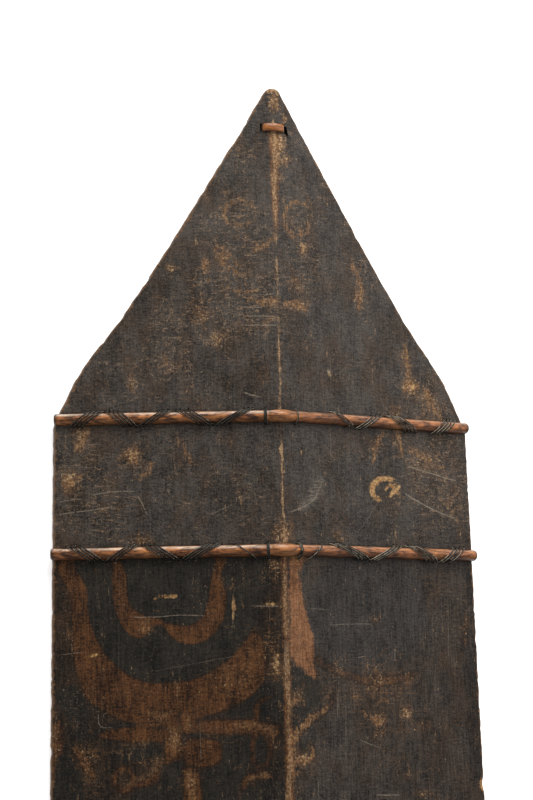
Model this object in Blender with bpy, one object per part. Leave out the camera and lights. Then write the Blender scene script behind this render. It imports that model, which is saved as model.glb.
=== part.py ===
"""A long six-sided wooden parrying shield with cane bands, lying on its back.

+X runs across the shield, +Y towards its upper tip and +Z out of its painted front.
The origin is the middle of the shield, on the surface that its long edges lie on.
Every length is in metres and every angle in radians.
"""

import math

import bmesh
import bpy
from mathutils import Vector

# Plan of the board
LENGTH = 1.40
WIDTH_MIDDLE = 0.403
WIDTH_SHOULDER = 0.392
HEAD_LENGTH = 0.310
TIP_RADIUS = 0.009
# How far the side of the pointed head stands off a straight line, at shares of the head's length
HEAD_SIDE_BOWS = (
    (0, 0),
    (0.25, -0.0014),
    (0.50, -0.0020),
    (0.70, 0.0003),
    (0.84, 0.0064),
    (0.93, 0.0032),
    (1, 0),
)
HEAD_SIDE_POINTS = 14
TIP_ARC_POINTS = 5

# Section of the board: a low roof, hollow underneath
ROOF_ANGLE = math.radians(14)
EDGE_THICKNESS = 0.008
RIDGE_THICKNESS = 0.0115
RIDGE_RADIUS = 0.032
RIDGE_ARC_STEPS = 4
NARROWEST_FOOT_FLAT = 0.003
ARRIS_BEVEL = 0.0014

# The grip, carved in one with the board
GRIP_WIDTH = 0.028
GRIP_THICKNESS = 0.017
GRIP_FLOOR_GAP = 0.0015
GRIP_WINDOW_LENGTH = 0.118
GRIP_FOOT_LENGTH = 0.022
GRIP_FOOT_SLOPE = 0.030
GRIP_ROOT_DEPTH = 0.004
GRIP_BEVEL = 0.0045
WINDOW_CORNER = 0.009

# The cane bands on the front
BANDS_FROM_TIP = (0.306, 0.426)
CANE_WIDTH = 0.0105
CANE_HEIGHT = 0.0058
CANE_OVERHANG = 0.0022
CANE_ROUND_END = 0.0018
CANE_END_SIZE = 0.72
CANE_SECTION_STEPS = 8
KNUCKLE_SWELL = 1.28
KNUCKLE_REACH = 0.013

# The lashing that stitches each band down, through holes beside the cane
STRIP_THICKNESS = 0.0010
WIDE_STRIP = 0.0066
THIN_STRIP = 0.0026
STITCH_WIDTH = 0.0030
STRIP_ARC_STEPS = 6
HOLE_CLEARANCE = 0.0004
FIT_GAP = 0.0004

# Where the strands pass through the board, as shares of the way from the ridge to the edge.
# The list starts at the edge and takes turns: over the cane, then behind the board, and so on.
OUTER_LEFT = (0.915, 0.822, 0.755, 0.675, 0.612, 0.504, 0.441, 0.334, 0.268, 0.145)
OUTER_RIGHT = (0.912, 0.838, 0.690, 0.585, 0.510, 0.410, 0.364, 0.268)
INNER_LEFT = (0.915, 0.812, 0.752, 0.652, 0.592, 0.486, 0.418, 0.298, 0.218, 0.125)
INNER_RIGHT = (0.918, 0.840, 0.768, 0.655, 0.586, 0.455, 0.406, 0.258, 0.190, 0.125)
RING_SHARE = 0.070

# The strip of cane bent through two slots near the upper tip
LOOP_FROM_TIP = 0.038
LOOP_HALF_SPAN = 0.0105
LOOP_WIDTH = 0.008
LOOP_THICKNESS = 0.0015
LOOP_PROUD = 0.0016
LOOP_BACK_DEPTH = 0.0045

PAINTED_WOOD = ("painted wood", (0.055, 0.047, 0.040), 0.62)
RED_CANE = ("red cane", (0.32, 0.12, 0.05), 0.42)
BLACK_STRIP = ("black strip", (0.045, 0.042, 0.036), 0.55)
PALE_CANE = ("pale cane", (0.45, 0.20, 0.08), 0.45)


def roof_slope():
    return math.tan(ROOF_ANGLE)


def widest_edge():
    """Distance from the middle to the long edge, where the board is widest."""
    return max(WIDTH_MIDDLE, WIDTH_SHOULDER) / 2


def ridge_height():
    """Height of the sharp ridge line that the two front slopes would meet in."""
    return EDGE_THICKNESS + widest_edge() * roof_slope()


def foot_line():
    """Distance from the middle at which the hollow of the back meets the flat under the edge."""
    return min(WIDTH_MIDDLE, WIDTH_SHOULDER) / 2 - NARROWEST_FOOT_FLAT


def hole_from_band():
    """Distance from the middle line of a band to the slots on each side of it."""
    return CANE_WIDTH / 2 + FIT_GAP + STRIP_THICKNESS / 2


def hollow_height():
    return ridge_height() - RIDGE_THICKNESS


def slab_thickness(across):
    """Thickness of the board, square to its front, at a distance from the middle."""
    front = ridge_height() - across * roof_slope()
    back = hollow_height() * (1 - across / foot_line())
    return (front - back) * math.cos(ROOF_ANGLE)


def eased(points, at):
    """A smooth curve through (position, value) points."""
    for k in range(len(points) - 1):
        (x0, y0), (x1, y1) = points[k], points[k + 1]
        if at <= x1:
            break
    before = points[max(k - 1, 0)]
    after = points[min(k + 2, len(points) - 1)]
    span = x1 - x0
    slope0 = (y1 - before[1]) / (x1 - before[0])
    slope1 = (after[1] - y0) / (after[0] - x0)
    t = (at - x0) / span
    return (
        y0 * (2 * t**3 - 3 * t**2 + 1)
        + slope0 * span * (t**3 - 2 * t**2 + t)
        + y1 * (3 * t**2 - 2 * t**3)
        + slope1 * span * (t**3 - t**2)
    )


def head_side():
    """The angle between the axis and the line from the shoulder that touches the tip's round."""
    along, out = HEAD_LENGTH - TIP_RADIUS, WIDTH_SHOULDER / 2
    return math.atan2(out, along) - math.asin(TIP_RADIUS / math.hypot(along, out))


def half_width(from_tip):
    """Half the width of the board at a distance from the nearer tip."""
    angle = head_side()
    touch = TIP_RADIUS * (1 - math.sin(angle))
    if from_tip <= touch:
        return math.sqrt(max(0.0, TIP_RADIUS**2 - (TIP_RADIUS - from_tip) ** 2))
    if from_tip < HEAD_LENGTH:
        straight = TIP_RADIUS * math.cos(angle) + (from_tip - touch) * math.tan(angle)
        return straight + eased(HEAD_SIDE_BOWS, from_tip / HEAD_LENGTH)
    share = (from_tip - HEAD_LENGTH) / (LENGTH / 2 - HEAD_LENGTH)
    return (WIDTH_SHOULDER + (WIDTH_MIDDLE - WIDTH_SHOULDER) * share) / 2


def outline():
    """The board's outline seen from the front, anticlockwise from the middle of its right side."""
    touch = TIP_RADIUS * (1 - math.sin(head_side()))
    stations = [LENGTH / 2, HEAD_LENGTH]
    for k in reversed(range(HEAD_SIDE_POINTS)):
        stations.append(touch + (HEAD_LENGTH - touch) * k / HEAD_SIDE_POINTS)
    reach = math.pi / 2 - head_side()
    for k in reversed(range(TIP_ARC_POINTS)):
        stations.append(TIP_RADIUS * (1 - math.cos(reach * k / TIP_ARC_POINTS)))
    quarter = [(half_width(s), LENGTH / 2 - s) for s in stations]
    upper = quarter + [(-x, y) for x, y in reversed(quarter[:-1])]
    return upper + [(-x, -y) for x, y in upper[1:-1]]


def ridge_arc(extra=0.0):
    """Points (x, z) over the rounded ridge, left to right, raised by extra off the board."""
    centre = ridge_height() - RIDGE_RADIUS / math.cos(ROOF_ANGLE)
    steps = range(-RIDGE_ARC_STEPS, RIDGE_ARC_STEPS + 1)
    angles = [ROOF_ANGLE * k / RIDGE_ARC_STEPS for k in steps]
    radius = RIDGE_RADIUS + extra
    return [(radius * math.sin(a), centre + radius * math.cos(a)) for a in angles]


def material(kind):
    name, colour, roughness = kind
    made = bpy.data.materials.get(name) or bpy.data.materials.new(name)
    made.use_nodes = True
    shader = made.node_tree.nodes["Principled BSDF"]
    shader.inputs["Base Color"].default_value = (*colour, 1.0)
    shader.inputs["Roughness"].default_value = roughness
    shader.inputs["Metallic"].default_value = 0.0
    return made


def new_object(name, mesh_builder, kind=None, helper=False):
    """An object whose mesh is what mesh_builder leaves in a bmesh."""
    shape = bmesh.new()
    mesh_builder(shape)
    bmesh.ops.recalc_face_normals(shape, faces=shape.faces)
    mesh = bpy.data.meshes.new(name)
    shape.to_mesh(mesh)
    shape.free()
    made = bpy.data.objects.new(name, mesh)
    bpy.context.scene.collection.objects.link(made)
    if kind:
        mesh.materials.append(material(kind))
    if helper:
        made.hide_render = True
        made.display_type = "WIRE"
    return made


def prism(shape, ring, offset):
    """Adds a closed prism: the ring of points, and the same ring moved by offset."""
    near = [shape.verts.new(p) for p in ring]
    far = [shape.verts.new(Vector(p) + Vector(offset)) for p in ring]
    shape.faces.new(near)
    shape.faces.new(list(reversed(far)))
    for k in range(len(ring)):
        following = (k + 1) % len(ring)
        shape.faces.new((near[k], near[following], far[following], far[k]))


def loft(shape, rings, closed=False):
    """Adds a skin through rings of as many points each: capped at both ends, or closed on itself."""
    rows = [[shape.verts.new(p) for p in ring] for ring in rings]
    joined = zip(rows, rows[1:] + rows[:1]) if closed else zip(rows, rows[1:])
    for before, after in joined:
        for k in range(len(before)):
            following = (k + 1) % len(before)
            shape.faces.new((before[k], before[following], after[following], after[k]))
    if not closed:
        shape.faces.new(rows[0])
        shape.faces.new(list(reversed(rows[-1])))


def boolean(target, operation, other):
    """A Boolean modifier on target, with an object or a collection of them."""
    added = target.modifiers.new(operation.lower(), "BOOLEAN")
    added.operation = operation
    added.solver = "EXACT"
    if isinstance(other, bpy.types.Collection):
        added.operand_type = "COLLECTION"
        added.collection = other
    else:
        added.object = other


def bevel(target, width, segments, limit):
    added = target.modifiers.new("arris", "BEVEL")
    added.width = width
    added.segments = segments
    added.limit_method = "ANGLE"
    added.angle_limit = limit


def side_frame(side):
    """For the right (1) or left (-1) half: the way down the front from the ridge, and the front's normal."""
    down = Vector((side * math.cos(ROOF_ANGLE), 0, -math.sin(ROOF_ANGLE)))
    out = Vector((side * math.sin(ROOF_ANGLE), 0, math.cos(ROOF_ANGLE)))
    return down, out


def on_front(side, across, y, height=0.0):
    """A point at a level distance across from the ridge, at y, and height off the front."""
    _, out = side_frame(side)
    foot = Vector((side * across, y, ridge_height() - across * roof_slope()))
    return foot + out * height


def band_half_width(y):
    return half_width(LENGTH / 2 - abs(y))


class Lashing:
    """One half of a band's lashing: the strips over the cane, and the stitches behind the board."""

    def __init__(self, name, side, y, shares, starts_low, thin_legs):
        self.name = name
        self.side = side
        self.y = y
        reach = band_half_width(y)
        places = [share * reach for share in shares] + [RING_SHARE * reach] * 2
        self.legs = []
        for k in range(len(places) // 2):
            first, second = places[2 * k], places[2 * k + 1]
            low_first = starts_low == (k % 2 == 0)
            low, high = (first, second) if low_first else (second, first)
            thin = k >= len(places) // 2 - thin_legs
            self.legs.append((low, high, THIN_STRIP if thin else WIDE_STRIP, low_first))

    def crossing(self, shape, low, high, wide):
        """A strip from the hole below the cane, over it, to the hole above, and just behind the board."""
        inner = CANE_WIDTH / 2 + FIT_GAP
        rise = CANE_HEIGHT + FIT_GAP - CANE_WIDTH / 2
        depth = max(slab_thickness(low), slab_thickness(high)) + FIT_GAP + STRIP_THICKNESS
        down, _ = side_frame(self.side)

        def ring(turn, drop):
            share = (1 - math.cos(turn)) / 2
            across = low + (high - low) * share
            points = []
            for thick, where in ((0, -1), (STRIP_THICKNESS, -1), (STRIP_THICKNESS, 1), (0, 1)):
                radius = inner + thick
                y = self.y - radius * math.cos(turn)
                height = -drop + (radius + rise) * math.sin(turn)
                points.append(on_front(self.side, across, y, height) + down * (where * wide / 2))
            return points

        arc = [ring(math.pi * k / STRIP_ARC_STEPS, 0) for k in range(STRIP_ARC_STEPS + 1)]
        loft(shape, [ring(0, depth)] + arc + [ring(math.pi, depth)])

    def stitch(self, shape, one, other, below):
        """A flat strip behind the board, from one hole to the next."""
        depth = max(slab_thickness(one), slab_thickness(other)) + FIT_GAP
        y = self.y + hole_from_band() * (-1 if below else 1) - STITCH_WIDTH / 2
        _, out = side_frame(self.side)
        start = on_front(self.side, one, y, -depth)
        end = on_front(self.side, other, y, -depth)
        deeper = -out * STRIP_THICKNESS
        prism(shape, [start, end, end + deeper, start + deeper], (0, STITCH_WIDTH, 0))

    def holes(self, shape):
        """The slots in the board that the strips pass through."""
        half_slot = STRIP_THICKNESS / 2 + HOLE_CLEARANCE
        down, out = side_frame(self.side)
        for low, high, wide, _ in self.legs:
            reach = down * (wide / 2 + HOLE_CLEARANCE)
            for across, where in ((low, -hole_from_band()), (high, hole_from_band())):
                top = on_front(self.side, across, self.y + where - half_slot, RIDGE_THICKNESS)
                bottom = on_front(self.side, across, self.y + where - half_slot, -2 * RIDGE_THICKNESS)
                ring = [top - reach, top + reach, bottom + reach, bottom - reach]
                prism(shape, ring, (0, 2 * half_slot, 0))

    def build(self):
        """The first strip is the object's own mesh, and the rest are joined to it."""
        pieces = bpy.data.collections.new(self.name + " pieces")
        pieces.hide_render = True
        bpy.context.scene.collection.children.link(pieces)
        made = None
        for k, (low, high, wide, low_first) in enumerate(self.legs):
            def strip(shape, low=low, high=high, wide=wide):
                self.crossing(shape, low, high, wide)

            if made is None:
                made = new_object(self.name, strip, BLACK_STRIP)
            else:
                move_to(new_object(f"{self.name} strip {k}", strip, helper=True), pieces)
                before_low, before_high, _, _ = self.legs[k - 1]
                one, other = (before_low, low) if low_first else (before_high, high)

                def behind(shape, one=one, other=other, below=low_first):
                    self.stitch(shape, one, other, below)

                move_to(new_object(f"{self.name} stitch {k}", behind, helper=True), pieces)
        boolean(made, "UNION", pieces)
        return made


def move_to(made, collection):
    bpy.context.scene.collection.objects.unlink(made)
    collection.objects.link(made)


def lashings():
    made = []
    outer, inner = (LENGTH / 2 - from_tip for from_tip in BANDS_FROM_TIP)
    for end, sign in (("upper", 1), ("lower", -1)):
        for place, y, shares, side, starts_low, thin_legs in (
            ("outer_left", outer, OUTER_LEFT, -1, True, 1),
            ("outer_right", outer, OUTER_RIGHT, 1, False, 1),
            ("inner_left", inner, INNER_LEFT, -1, False, 2),
            ("inner_right", inner, INNER_RIGHT, 1, False, 2),
        ):
            name = f"lashing_{end}_{place}"
            made.append(Lashing(name, side, sign * y, shares, starts_low == (sign > 0), thin_legs))
    return made


def cane_stations(y):
    """Places along a cane, left to right: its section's foot, the way the section stands and its size."""
    reach = band_half_width(y) + CANE_OVERHANG
    straight = ((KNUCKLE_REACH, 1.0), (reach - CANE_ROUND_END, 1.0), (reach, CANE_END_SIZE))
    right = [(on_front(1, x, y, FIT_GAP), side_frame(1)[1], size) for x, size in straight]
    left = [(on_front(-1, x, y, FIT_GAP), side_frame(-1)[1], size) for x, size in reversed(straight)]
    bend = []
    for k, (x, z) in enumerate(ridge_arc(FIT_GAP)):
        angle = ROOF_ANGLE * (k - RIDGE_ARC_STEPS) / RIDGE_ARC_STEPS
        fade = math.cos(math.pi / 2 * x / KNUCKLE_REACH) ** 2
        out = Vector((math.sin(angle), 0, math.cos(angle)))
        bend.append((Vector((x, y, z)), out, 1 + (KNUCKLE_SWELL - 1) * fade))
    return left + bend + right


def build_cane(name, y):
    """A half-round cane laid across the front and bent over the ridge, where it is thicker."""
    turns = [math.pi * k / CANE_SECTION_STEPS for k in range(CANE_SECTION_STEPS + 1)]

    def sweep(shape):
        rings = []
        for foot, out, size in cane_stations(y):
            half = Vector((0, CANE_WIDTH / 2 * size, 0))
            up = out * (CANE_HEIGHT * size)
            rings.append([foot + half * math.cos(a) + up * math.sin(a) for a in turns])
        loft(shape, rings)

    made = new_object(name, sweep, RED_CANE)
    made.data.shade_smooth()
    made.data.set_sharp_from_angle(angle=math.radians(50))
    return made


def loop_ring(grow):
    """The tip loop seen along the board: over the ridge, through both slots and behind, grown by grow."""
    top = ridge_arc(LOOP_PROUD)[RIDGE_ARC_STEPS][1] + grow
    shoulder = on_front(1, LOOP_HALF_SPAN, 0, LOOP_PROUD).z + grow
    side = LOOP_HALF_SPAN + grow
    back = ridge_height() - RIDGE_THICKNESS - LOOP_BACK_DEPTH - grow
    half = [(0, top), (side * 0.55, (top + shoulder) / 2), (side * 0.92, shoulder)]
    half += [(side, shoulder - LOOP_PROUD), (side, back + LOOP_PROUD), (side * 0.7, back), (0, back)]
    return half + [(-x, z) for x, z in reversed(half[1:-1])]


def build_tip_loop():
    y = LENGTH / 2 - LOOP_FROM_TIP

    def band(shape):
        rings = []
        for grow, where in ((0, -1), (LOOP_THICKNESS, -1), (LOOP_THICKNESS, 1), (0, 1)):
            rings.append([(x, y + where * LOOP_WIDTH / 2, z) for x, z in loop_ring(grow)])
        loft(shape, rings, closed=True)

    made = new_object("tip_loop", band, PALE_CANE)
    made.data.shade_smooth()
    made.data.set_sharp_from_angle(angle=math.radians(50))
    return made


def cut_loop_slots(shape):
    y = LENGTH / 2 - LOOP_FROM_TIP
    half = LOOP_WIDTH / 2 + HOLE_CLEARANCE
    low, high = 0.0, ridge_height() + RIDGE_THICKNESS
    for side in (-1, 1):
        near = side * (LOOP_HALF_SPAN - HOLE_CLEARANCE)
        far = side * (LOOP_HALF_SPAN + LOOP_THICKNESS + HOLE_CLEARANCE)
        ring = [(near, y - half, low), (far, y - half, low), (far, y - half, high), (near, y - half, high)]
        prism(shape, ring, (0, 2 * half, 0))


def build_grip():
    """The hand grip seen from the side: a bar on two sloping feet, with a window for the fingers."""
    bar_low, bar_high = GRIP_FLOOR_GAP, GRIP_FLOOR_GAP + GRIP_THICKNESS
    root = hollow_height() + GRIP_ROOT_DEPTH
    window = GRIP_WINDOW_LENGTH / 2
    outer_low = window + GRIP_FOOT_LENGTH
    outer_high = outer_low + GRIP_FOOT_SLOPE
    corner = WINDOW_CORNER

    def side_view(shape):
        half = [(outer_high, root), (outer_low + GRIP_FOOT_SLOPE * 0.45, bar_high), (outer_low, bar_low)]
        under = [(-y, z) for y, z in reversed(half)]
        inner = [(-window + corner, root), (-window, root - corner - GRIP_ROOT_DEPTH)]
        inner += [(-window, bar_high + corner), (-window + corner, bar_high)]
        ring = half + under + inner + [(-y, z) for y, z in reversed(inner)]
        prism(shape, [(-GRIP_WIDTH / 2, y, z) for y, z in ring], (GRIP_WIDTH, 0, 0))

    made = new_object("grip form", side_view, helper=True)
    bevel(made, GRIP_BEVEL, 2, math.radians(60))
    return made


def build_board(all_lashings):
    """The roof-shaped plank, cut to the outline, with its arris eased, its holes cut and its grip on."""
    spare = EDGE_THICKNESS

    def plank(shape):
        reach = widest_edge() + spare
        front_edge = ridge_height() - reach * roof_slope()
        arc = ridge_arc()
        ring = [(-reach, front_edge)] + arc + [(reach, front_edge), (reach, 0)]
        ring += [(foot_line(), 0), (0, hollow_height()), (-foot_line(), 0), (-reach, 0)]
        end = LENGTH / 2 + spare
        prism(shape, [(x, -end, z) for x, z in ring], (0, 2 * end, 0))

    def plan(shape):
        low, high = -spare, ridge_height() + spare
        prism(shape, [(x, y, low) for x, y in outline()], (0, 0, high - low))

    def holes(shape):
        for lashing in all_lashings:
            lashing.holes(shape)
        cut_loop_slots(shape)

    board = new_object("board", plank, PAINTED_WOOD)
    boolean(board, "INTERSECT", new_object("plan form", plan, helper=True))
    bevel(board, ARRIS_BEVEL, 1, math.radians(58))
    boolean(board, "DIFFERENCE", new_object("hole forms", holes, helper=True))
    boolean(board, "UNION", build_grip())
    return board


def main():
    for leftover in list(bpy.data.objects):
        bpy.data.objects.remove(leftover)
    all_lashings = lashings()
    build_board(all_lashings)
    for end, sign in (("upper", 1), ("lower", -1)):
        for place, from_tip in zip(("outer", "inner"), BANDS_FROM_TIP):
            build_cane(f"cane_{end}_{place}", sign * (LENGTH / 2 - from_tip))
    for lashing in all_lashings:
        lashing.build()
    build_tip_loop()


main()
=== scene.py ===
# %% [markdown]
# # A long painted war shield, with cane bands and a carved grip
# The real shield is one softwood plank, roof-shaped in front and hollow behind, painted
# black-brown and red-brown and worn by years of use. Four half-round canes lie across the front,
# sewn down with split black strands. This lesson builds its looks around a fixed frame: the plain
# solids give every size, and each step lays a detailed piece over one of them.

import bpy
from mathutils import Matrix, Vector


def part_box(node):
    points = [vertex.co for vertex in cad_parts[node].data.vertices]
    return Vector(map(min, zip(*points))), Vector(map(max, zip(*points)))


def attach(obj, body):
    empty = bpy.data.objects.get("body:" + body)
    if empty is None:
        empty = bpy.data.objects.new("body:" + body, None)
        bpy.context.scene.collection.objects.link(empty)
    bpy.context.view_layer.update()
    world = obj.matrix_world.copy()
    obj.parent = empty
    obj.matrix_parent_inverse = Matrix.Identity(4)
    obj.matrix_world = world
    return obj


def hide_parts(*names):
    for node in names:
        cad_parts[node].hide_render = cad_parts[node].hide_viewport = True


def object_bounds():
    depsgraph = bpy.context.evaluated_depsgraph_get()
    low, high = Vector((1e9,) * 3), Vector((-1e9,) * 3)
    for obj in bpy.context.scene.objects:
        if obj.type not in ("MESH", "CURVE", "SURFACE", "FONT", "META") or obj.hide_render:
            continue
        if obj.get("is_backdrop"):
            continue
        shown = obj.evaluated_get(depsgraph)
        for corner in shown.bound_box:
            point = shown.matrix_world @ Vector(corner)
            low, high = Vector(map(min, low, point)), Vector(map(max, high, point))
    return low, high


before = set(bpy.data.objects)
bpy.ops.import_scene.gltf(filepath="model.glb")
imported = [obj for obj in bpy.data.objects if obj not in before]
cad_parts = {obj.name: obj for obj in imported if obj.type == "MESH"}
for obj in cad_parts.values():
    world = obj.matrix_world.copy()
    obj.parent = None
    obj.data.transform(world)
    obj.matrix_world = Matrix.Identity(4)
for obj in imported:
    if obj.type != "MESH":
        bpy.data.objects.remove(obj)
cad_low, cad_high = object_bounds()
print("frame box", [round(v, 4) for v in (*cad_low, *cad_high)])

# %% Modules
import math
import random

import bmesh
import bpy
import numpy as np
from mathutils import Euler, Vector, noise
from mathutils.bvhtree import BVHTree

dice = random.Random(7)

# %% [markdown]
# ## Camera and light
# The photograph looks down on the shield from beside its upper half, with the tip up. A pixel of
# it can be followed through the camera to the sloping front, so the camera comes first: painted
# shapes and worn places are then given in pixels and land where they are on the real shield.
# The light is a large soft panel past the tip and a pale room all round, so that the head is a
# little brighter than the middle and each cane shines along its upper side.

# %% Camera
PHOTO_WIDTH, PHOTO_HEIGHT = 533, 800
LENS, SENSOR = 90.0, 36.0
CAMERA_PLACE = Vector((-0.50085, 0.10548, 1.75054))
CAMERA_TURN = Euler([math.radians(a) for a in (10.137, -15.839, -1.41)])

camera = bpy.data.objects.new("camera", bpy.data.cameras.new("camera"))
bpy.context.scene.collection.objects.link(camera)
camera.location = CAMERA_PLACE
camera.rotation_euler = CAMERA_TURN
camera.data.lens = LENS
camera.data.sensor_width = SENSOR
camera.data.clip_start = 0.05
bpy.context.scene.camera = camera
print("camera", round(CAMERA_PLACE.length, 3), "m from the middle of the shield")


# %% Light and floor
def soft_panel(name, place, target, size, watts, colour):
    """A square area light at place that faces target."""
    light = bpy.data.lights.new(name, "AREA")
    light.size = size
    light.energy = watts
    light.color = colour
    panel = bpy.data.objects.new(name, light)
    bpy.context.scene.collection.objects.link(panel)
    panel.location = place
    panel.rotation_euler = (Vector(target) - Vector(place)).to_track_quat("-Z", "Y").to_euler()
    return panel


def pale_material(name, colour, glow):
    """A matt floor that glows faintly, so that it stays almost white beside a dark object."""
    made = bpy.data.materials.new(name)
    made.use_nodes = True
    shader = made.node_tree.nodes["Principled BSDF"]
    shader.inputs["Base Color"].default_value = (*colour, 1.0)
    shader.inputs["Roughness"].default_value = 0.9
    shader.inputs["Specular IOR Level"].default_value = 0.0
    shader.inputs["Emission Color"].default_value = (1.0, 1.0, 1.0, 1.0)
    shader.inputs["Emission Strength"].default_value = glow
    return made


room = bpy.data.worlds.new("pale room")
room.use_nodes = True
room.node_tree.nodes["Background"].inputs["Color"].default_value = (1.0, 1.0, 1.0, 1.0)
room.node_tree.nodes["Background"].inputs["Strength"].default_value = 0.38
bpy.context.scene.world = room
bpy.context.scene.view_settings.view_transform = "Standard"

soft_panel("tip panel", (0.35, 2.5, 1.35), (0.0, 0.35, 0.0), 1.5, 70.0, (1.0, 0.98, 0.95))
soft_panel("side panel", (1.9, 0.9, 1.5), (0.0, 0.3, 0.0), 1.4, 15.0, (0.98, 0.98, 1.0))

floor_mesh = bpy.data.meshes.new("floor")
FLOOR_REACH = 9.0
corners = [(-1, -1), (1, -1), (1, 1), (-1, 1)]
floor_mesh.from_pydata([(x * FLOOR_REACH, y * FLOOR_REACH, 0) for x, y in corners], [], [(0, 1, 2, 3)])
floor = bpy.data.objects.new("floor", floor_mesh)
bpy.context.scene.collection.objects.link(floor)
floor_mesh.materials.append(pale_material("pale floor", (0.94, 0.94, 0.94), 0.60))
floor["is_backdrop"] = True
print("floor", 2 * FLOOR_REACH, "m across")

# %% [markdown]
# ## Sizes from the frame
# The plank has the same roof section from end to end, cut to a six-sided outline. Its section is
# read off the frame by dropping rays on a plain row, and its outline by slicing the solid's edges,
# so the detailed board fits the frame without a number typed twice.

# %% Section and outline of the board
PLAIN_ROW = 0.20
board_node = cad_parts["board"].data
half_length = cad_high.y


def mesh_points(mesh):
    points = np.zeros(len(mesh.vertices) * 3)
    mesh.vertices.foreach_get("co", points)
    return points.reshape(-1, 3)


solid_points = mesh_points(board_node)
solid_faces = [list(face.vertices) for face in board_node.polygons]
solid_tree = BVHTree.FromPolygons([Vector(p) for p in solid_points], solid_faces)


def section_height(across, from_above):
    """The height of the board's front or back at a distance from the ridge, on the plain row."""
    start = Vector((across, PLAIN_ROW, 1.0 if from_above else -1.0))
    way = Vector((0, 0, -1.0 if from_above else 1.0))
    return solid_tree.ray_cast(start, way)[0].z


ROOF_SLOPE = (section_height(0.05, True) - section_height(0.15, True)) / 0.10
SHARP_RIDGE = section_height(0.05, True) + 0.05 * ROOF_SLOPE
HOLLOW_TOP = section_height(0.0001, False)
HOLLOW_SLOPE = (section_height(0.05, False) - section_height(0.15, False)) / 0.10
ROOF_ANGLE = math.atan(ROOF_SLOPE)
near_ridge = np.linspace(0.0, 0.02, 41)
ridge_profile = np.array([section_height(x + 1e-5, True) for x in near_ridge])


def front_height(across):
    """Height of the sloping front at distances from the ridge, the ridge itself rounded."""
    across = np.abs(across)
    sloping = SHARP_RIDGE - across * ROOF_SLOPE
    return np.where(across < near_ridge[-1], np.interp(across, near_ridge, ridge_profile), sloping)


def back_height(across):
    """Height of the hollow back, down to the flats that the edges rest on."""
    return np.maximum(0.0, HOLLOW_TOP - np.abs(across) * HOLLOW_SLOPE)


edge_ends = np.zeros(len(board_node.edges) * 2, np.int32)
board_node.edges.foreach_get("vertices", edge_ends)
edge_ends = solid_points[edge_ends.reshape(-1, 2)]


def solid_half_width(y):
    """Half the solid's width at y, from the edges that cross that line."""
    first, second = edge_ends[:, 0], edge_ends[:, 1]
    crossing = (first[:, 1] - y) * (second[:, 1] - y) < 0
    first, second = first[crossing], second[crossing]
    share = (y - first[:, 1]) / (second[:, 1] - first[:, 1])
    return float(np.max(first[:, 0] + (second[:, 0] - first[:, 0]) * share))


width_rows = np.concatenate([half_length - np.geomspace(2e-5, 0.03, 60), np.linspace(0.6695, 0.001, 220)])
width_found = np.array([solid_half_width(y + 1.3e-6) for y in width_rows])
order = np.argsort(width_rows)
width_rows, width_found = width_rows[order], width_found[order]


def half_width(y):
    return np.interp(np.abs(y), width_rows, width_found)


print("ridge", round(SHARP_RIDGE, 4), "slope", round(math.degrees(ROOF_ANGLE), 2), "deg")
print("half width at the middle and at 0.39:", half_width(0.0).round(4), half_width(0.39).round(4))

# %% From a pixel to the front of the board
FOCAL = LENS / SENSOR * PHOTO_HEIGHT
camera_axes = np.array(CAMERA_TURN.to_matrix())


def on_front(pixels):
    """The (x, y) places on the sloping front that show at these pixels of the photograph."""
    pixels = np.array(pixels, float).reshape(-1, 2)
    across = (pixels[:, 0] - PHOTO_WIDTH / 2) / FOCAL
    up = (PHOTO_HEIGHT / 2 - pixels[:, 1]) / FOCAL
    rays = np.stack([across, up, -np.ones(len(pixels))], 1) @ camera_axes.T
    eye = np.array(CAMERA_PLACE)
    found = np.zeros((len(pixels), 2))
    for side in (1, -1):
        slope = side * ROOF_SLOPE
        reach = (SHARP_RIDGE - slope * eye[0] - eye[2]) / (rays[:, 2] + slope * rays[:, 0])
        place = eye[:2] + rays[:, :2] * reach[:, None]
        chosen = place[:, 0] * side >= 0
        found[chosen] = place[chosen]
    return found


PIXEL = float(np.linalg.norm(on_front([(200, 600)]) - on_front([(200, 601)])))
print("one pixel is", round(PIXEL * 1000, 3), "mm; the tip shows at", on_front([(270, 89)]).round(3))

# %% [markdown]
# ## The board
# A grid laid over the front and another over the back, joined round the rim, gives an even mesh
# that can carry painted shapes in its points. The rows are closer together at the tips. The sharp
# edges are eased by dropping the outermost columns along a quarter round. Long use has left small
# dents in the outline, and the tool that shaped the plank left low waves, so both are in the mesh.

# %% Rows and columns
ROW_STEP = 0.0034
FRONT_COLUMNS = 50
BACK_COLUMNS = 20
TIP_RADIUS = 0.009
TIP_ROWS = [0.0002, 0.0007, 0.0015, 0.0026, 0.004, 0.0058, 0.0080]
ARRIS_STEPS = np.array([0.0, 0.0003, 0.0008, 0.0015, 0.0026])
RIDGE_STEPS = np.array([0.0, 0.0013, 0.0028, 0.0048, 0.0078])
FULL_STEPS_FROM = 0.03
FRONT_ROUND, BACK_ROUND = 0.0016, 0.0012

from_tip = np.concatenate([TIP_ROWS, np.arange(0.0108, half_length, ROW_STEP)])
row_places = np.concatenate([half_length - from_tip, [0.0], from_tip[::-1] - half_length])[::-1]


def columns(reach, count):
    """Places across one row, closer together at the ridge and at the rim."""
    scale = min(1.0, reach / FULL_STEPS_FROM)
    ridge, arris = RIDGE_STEPS * scale, ARRIS_STEPS * scale
    field = np.linspace(ridge[-1], reach - arris[-1], count)[1:-1]
    half = np.concatenate([ridge, field, reach - arris[::-1]])
    return np.concatenate([-half[:0:-1], half])

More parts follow.
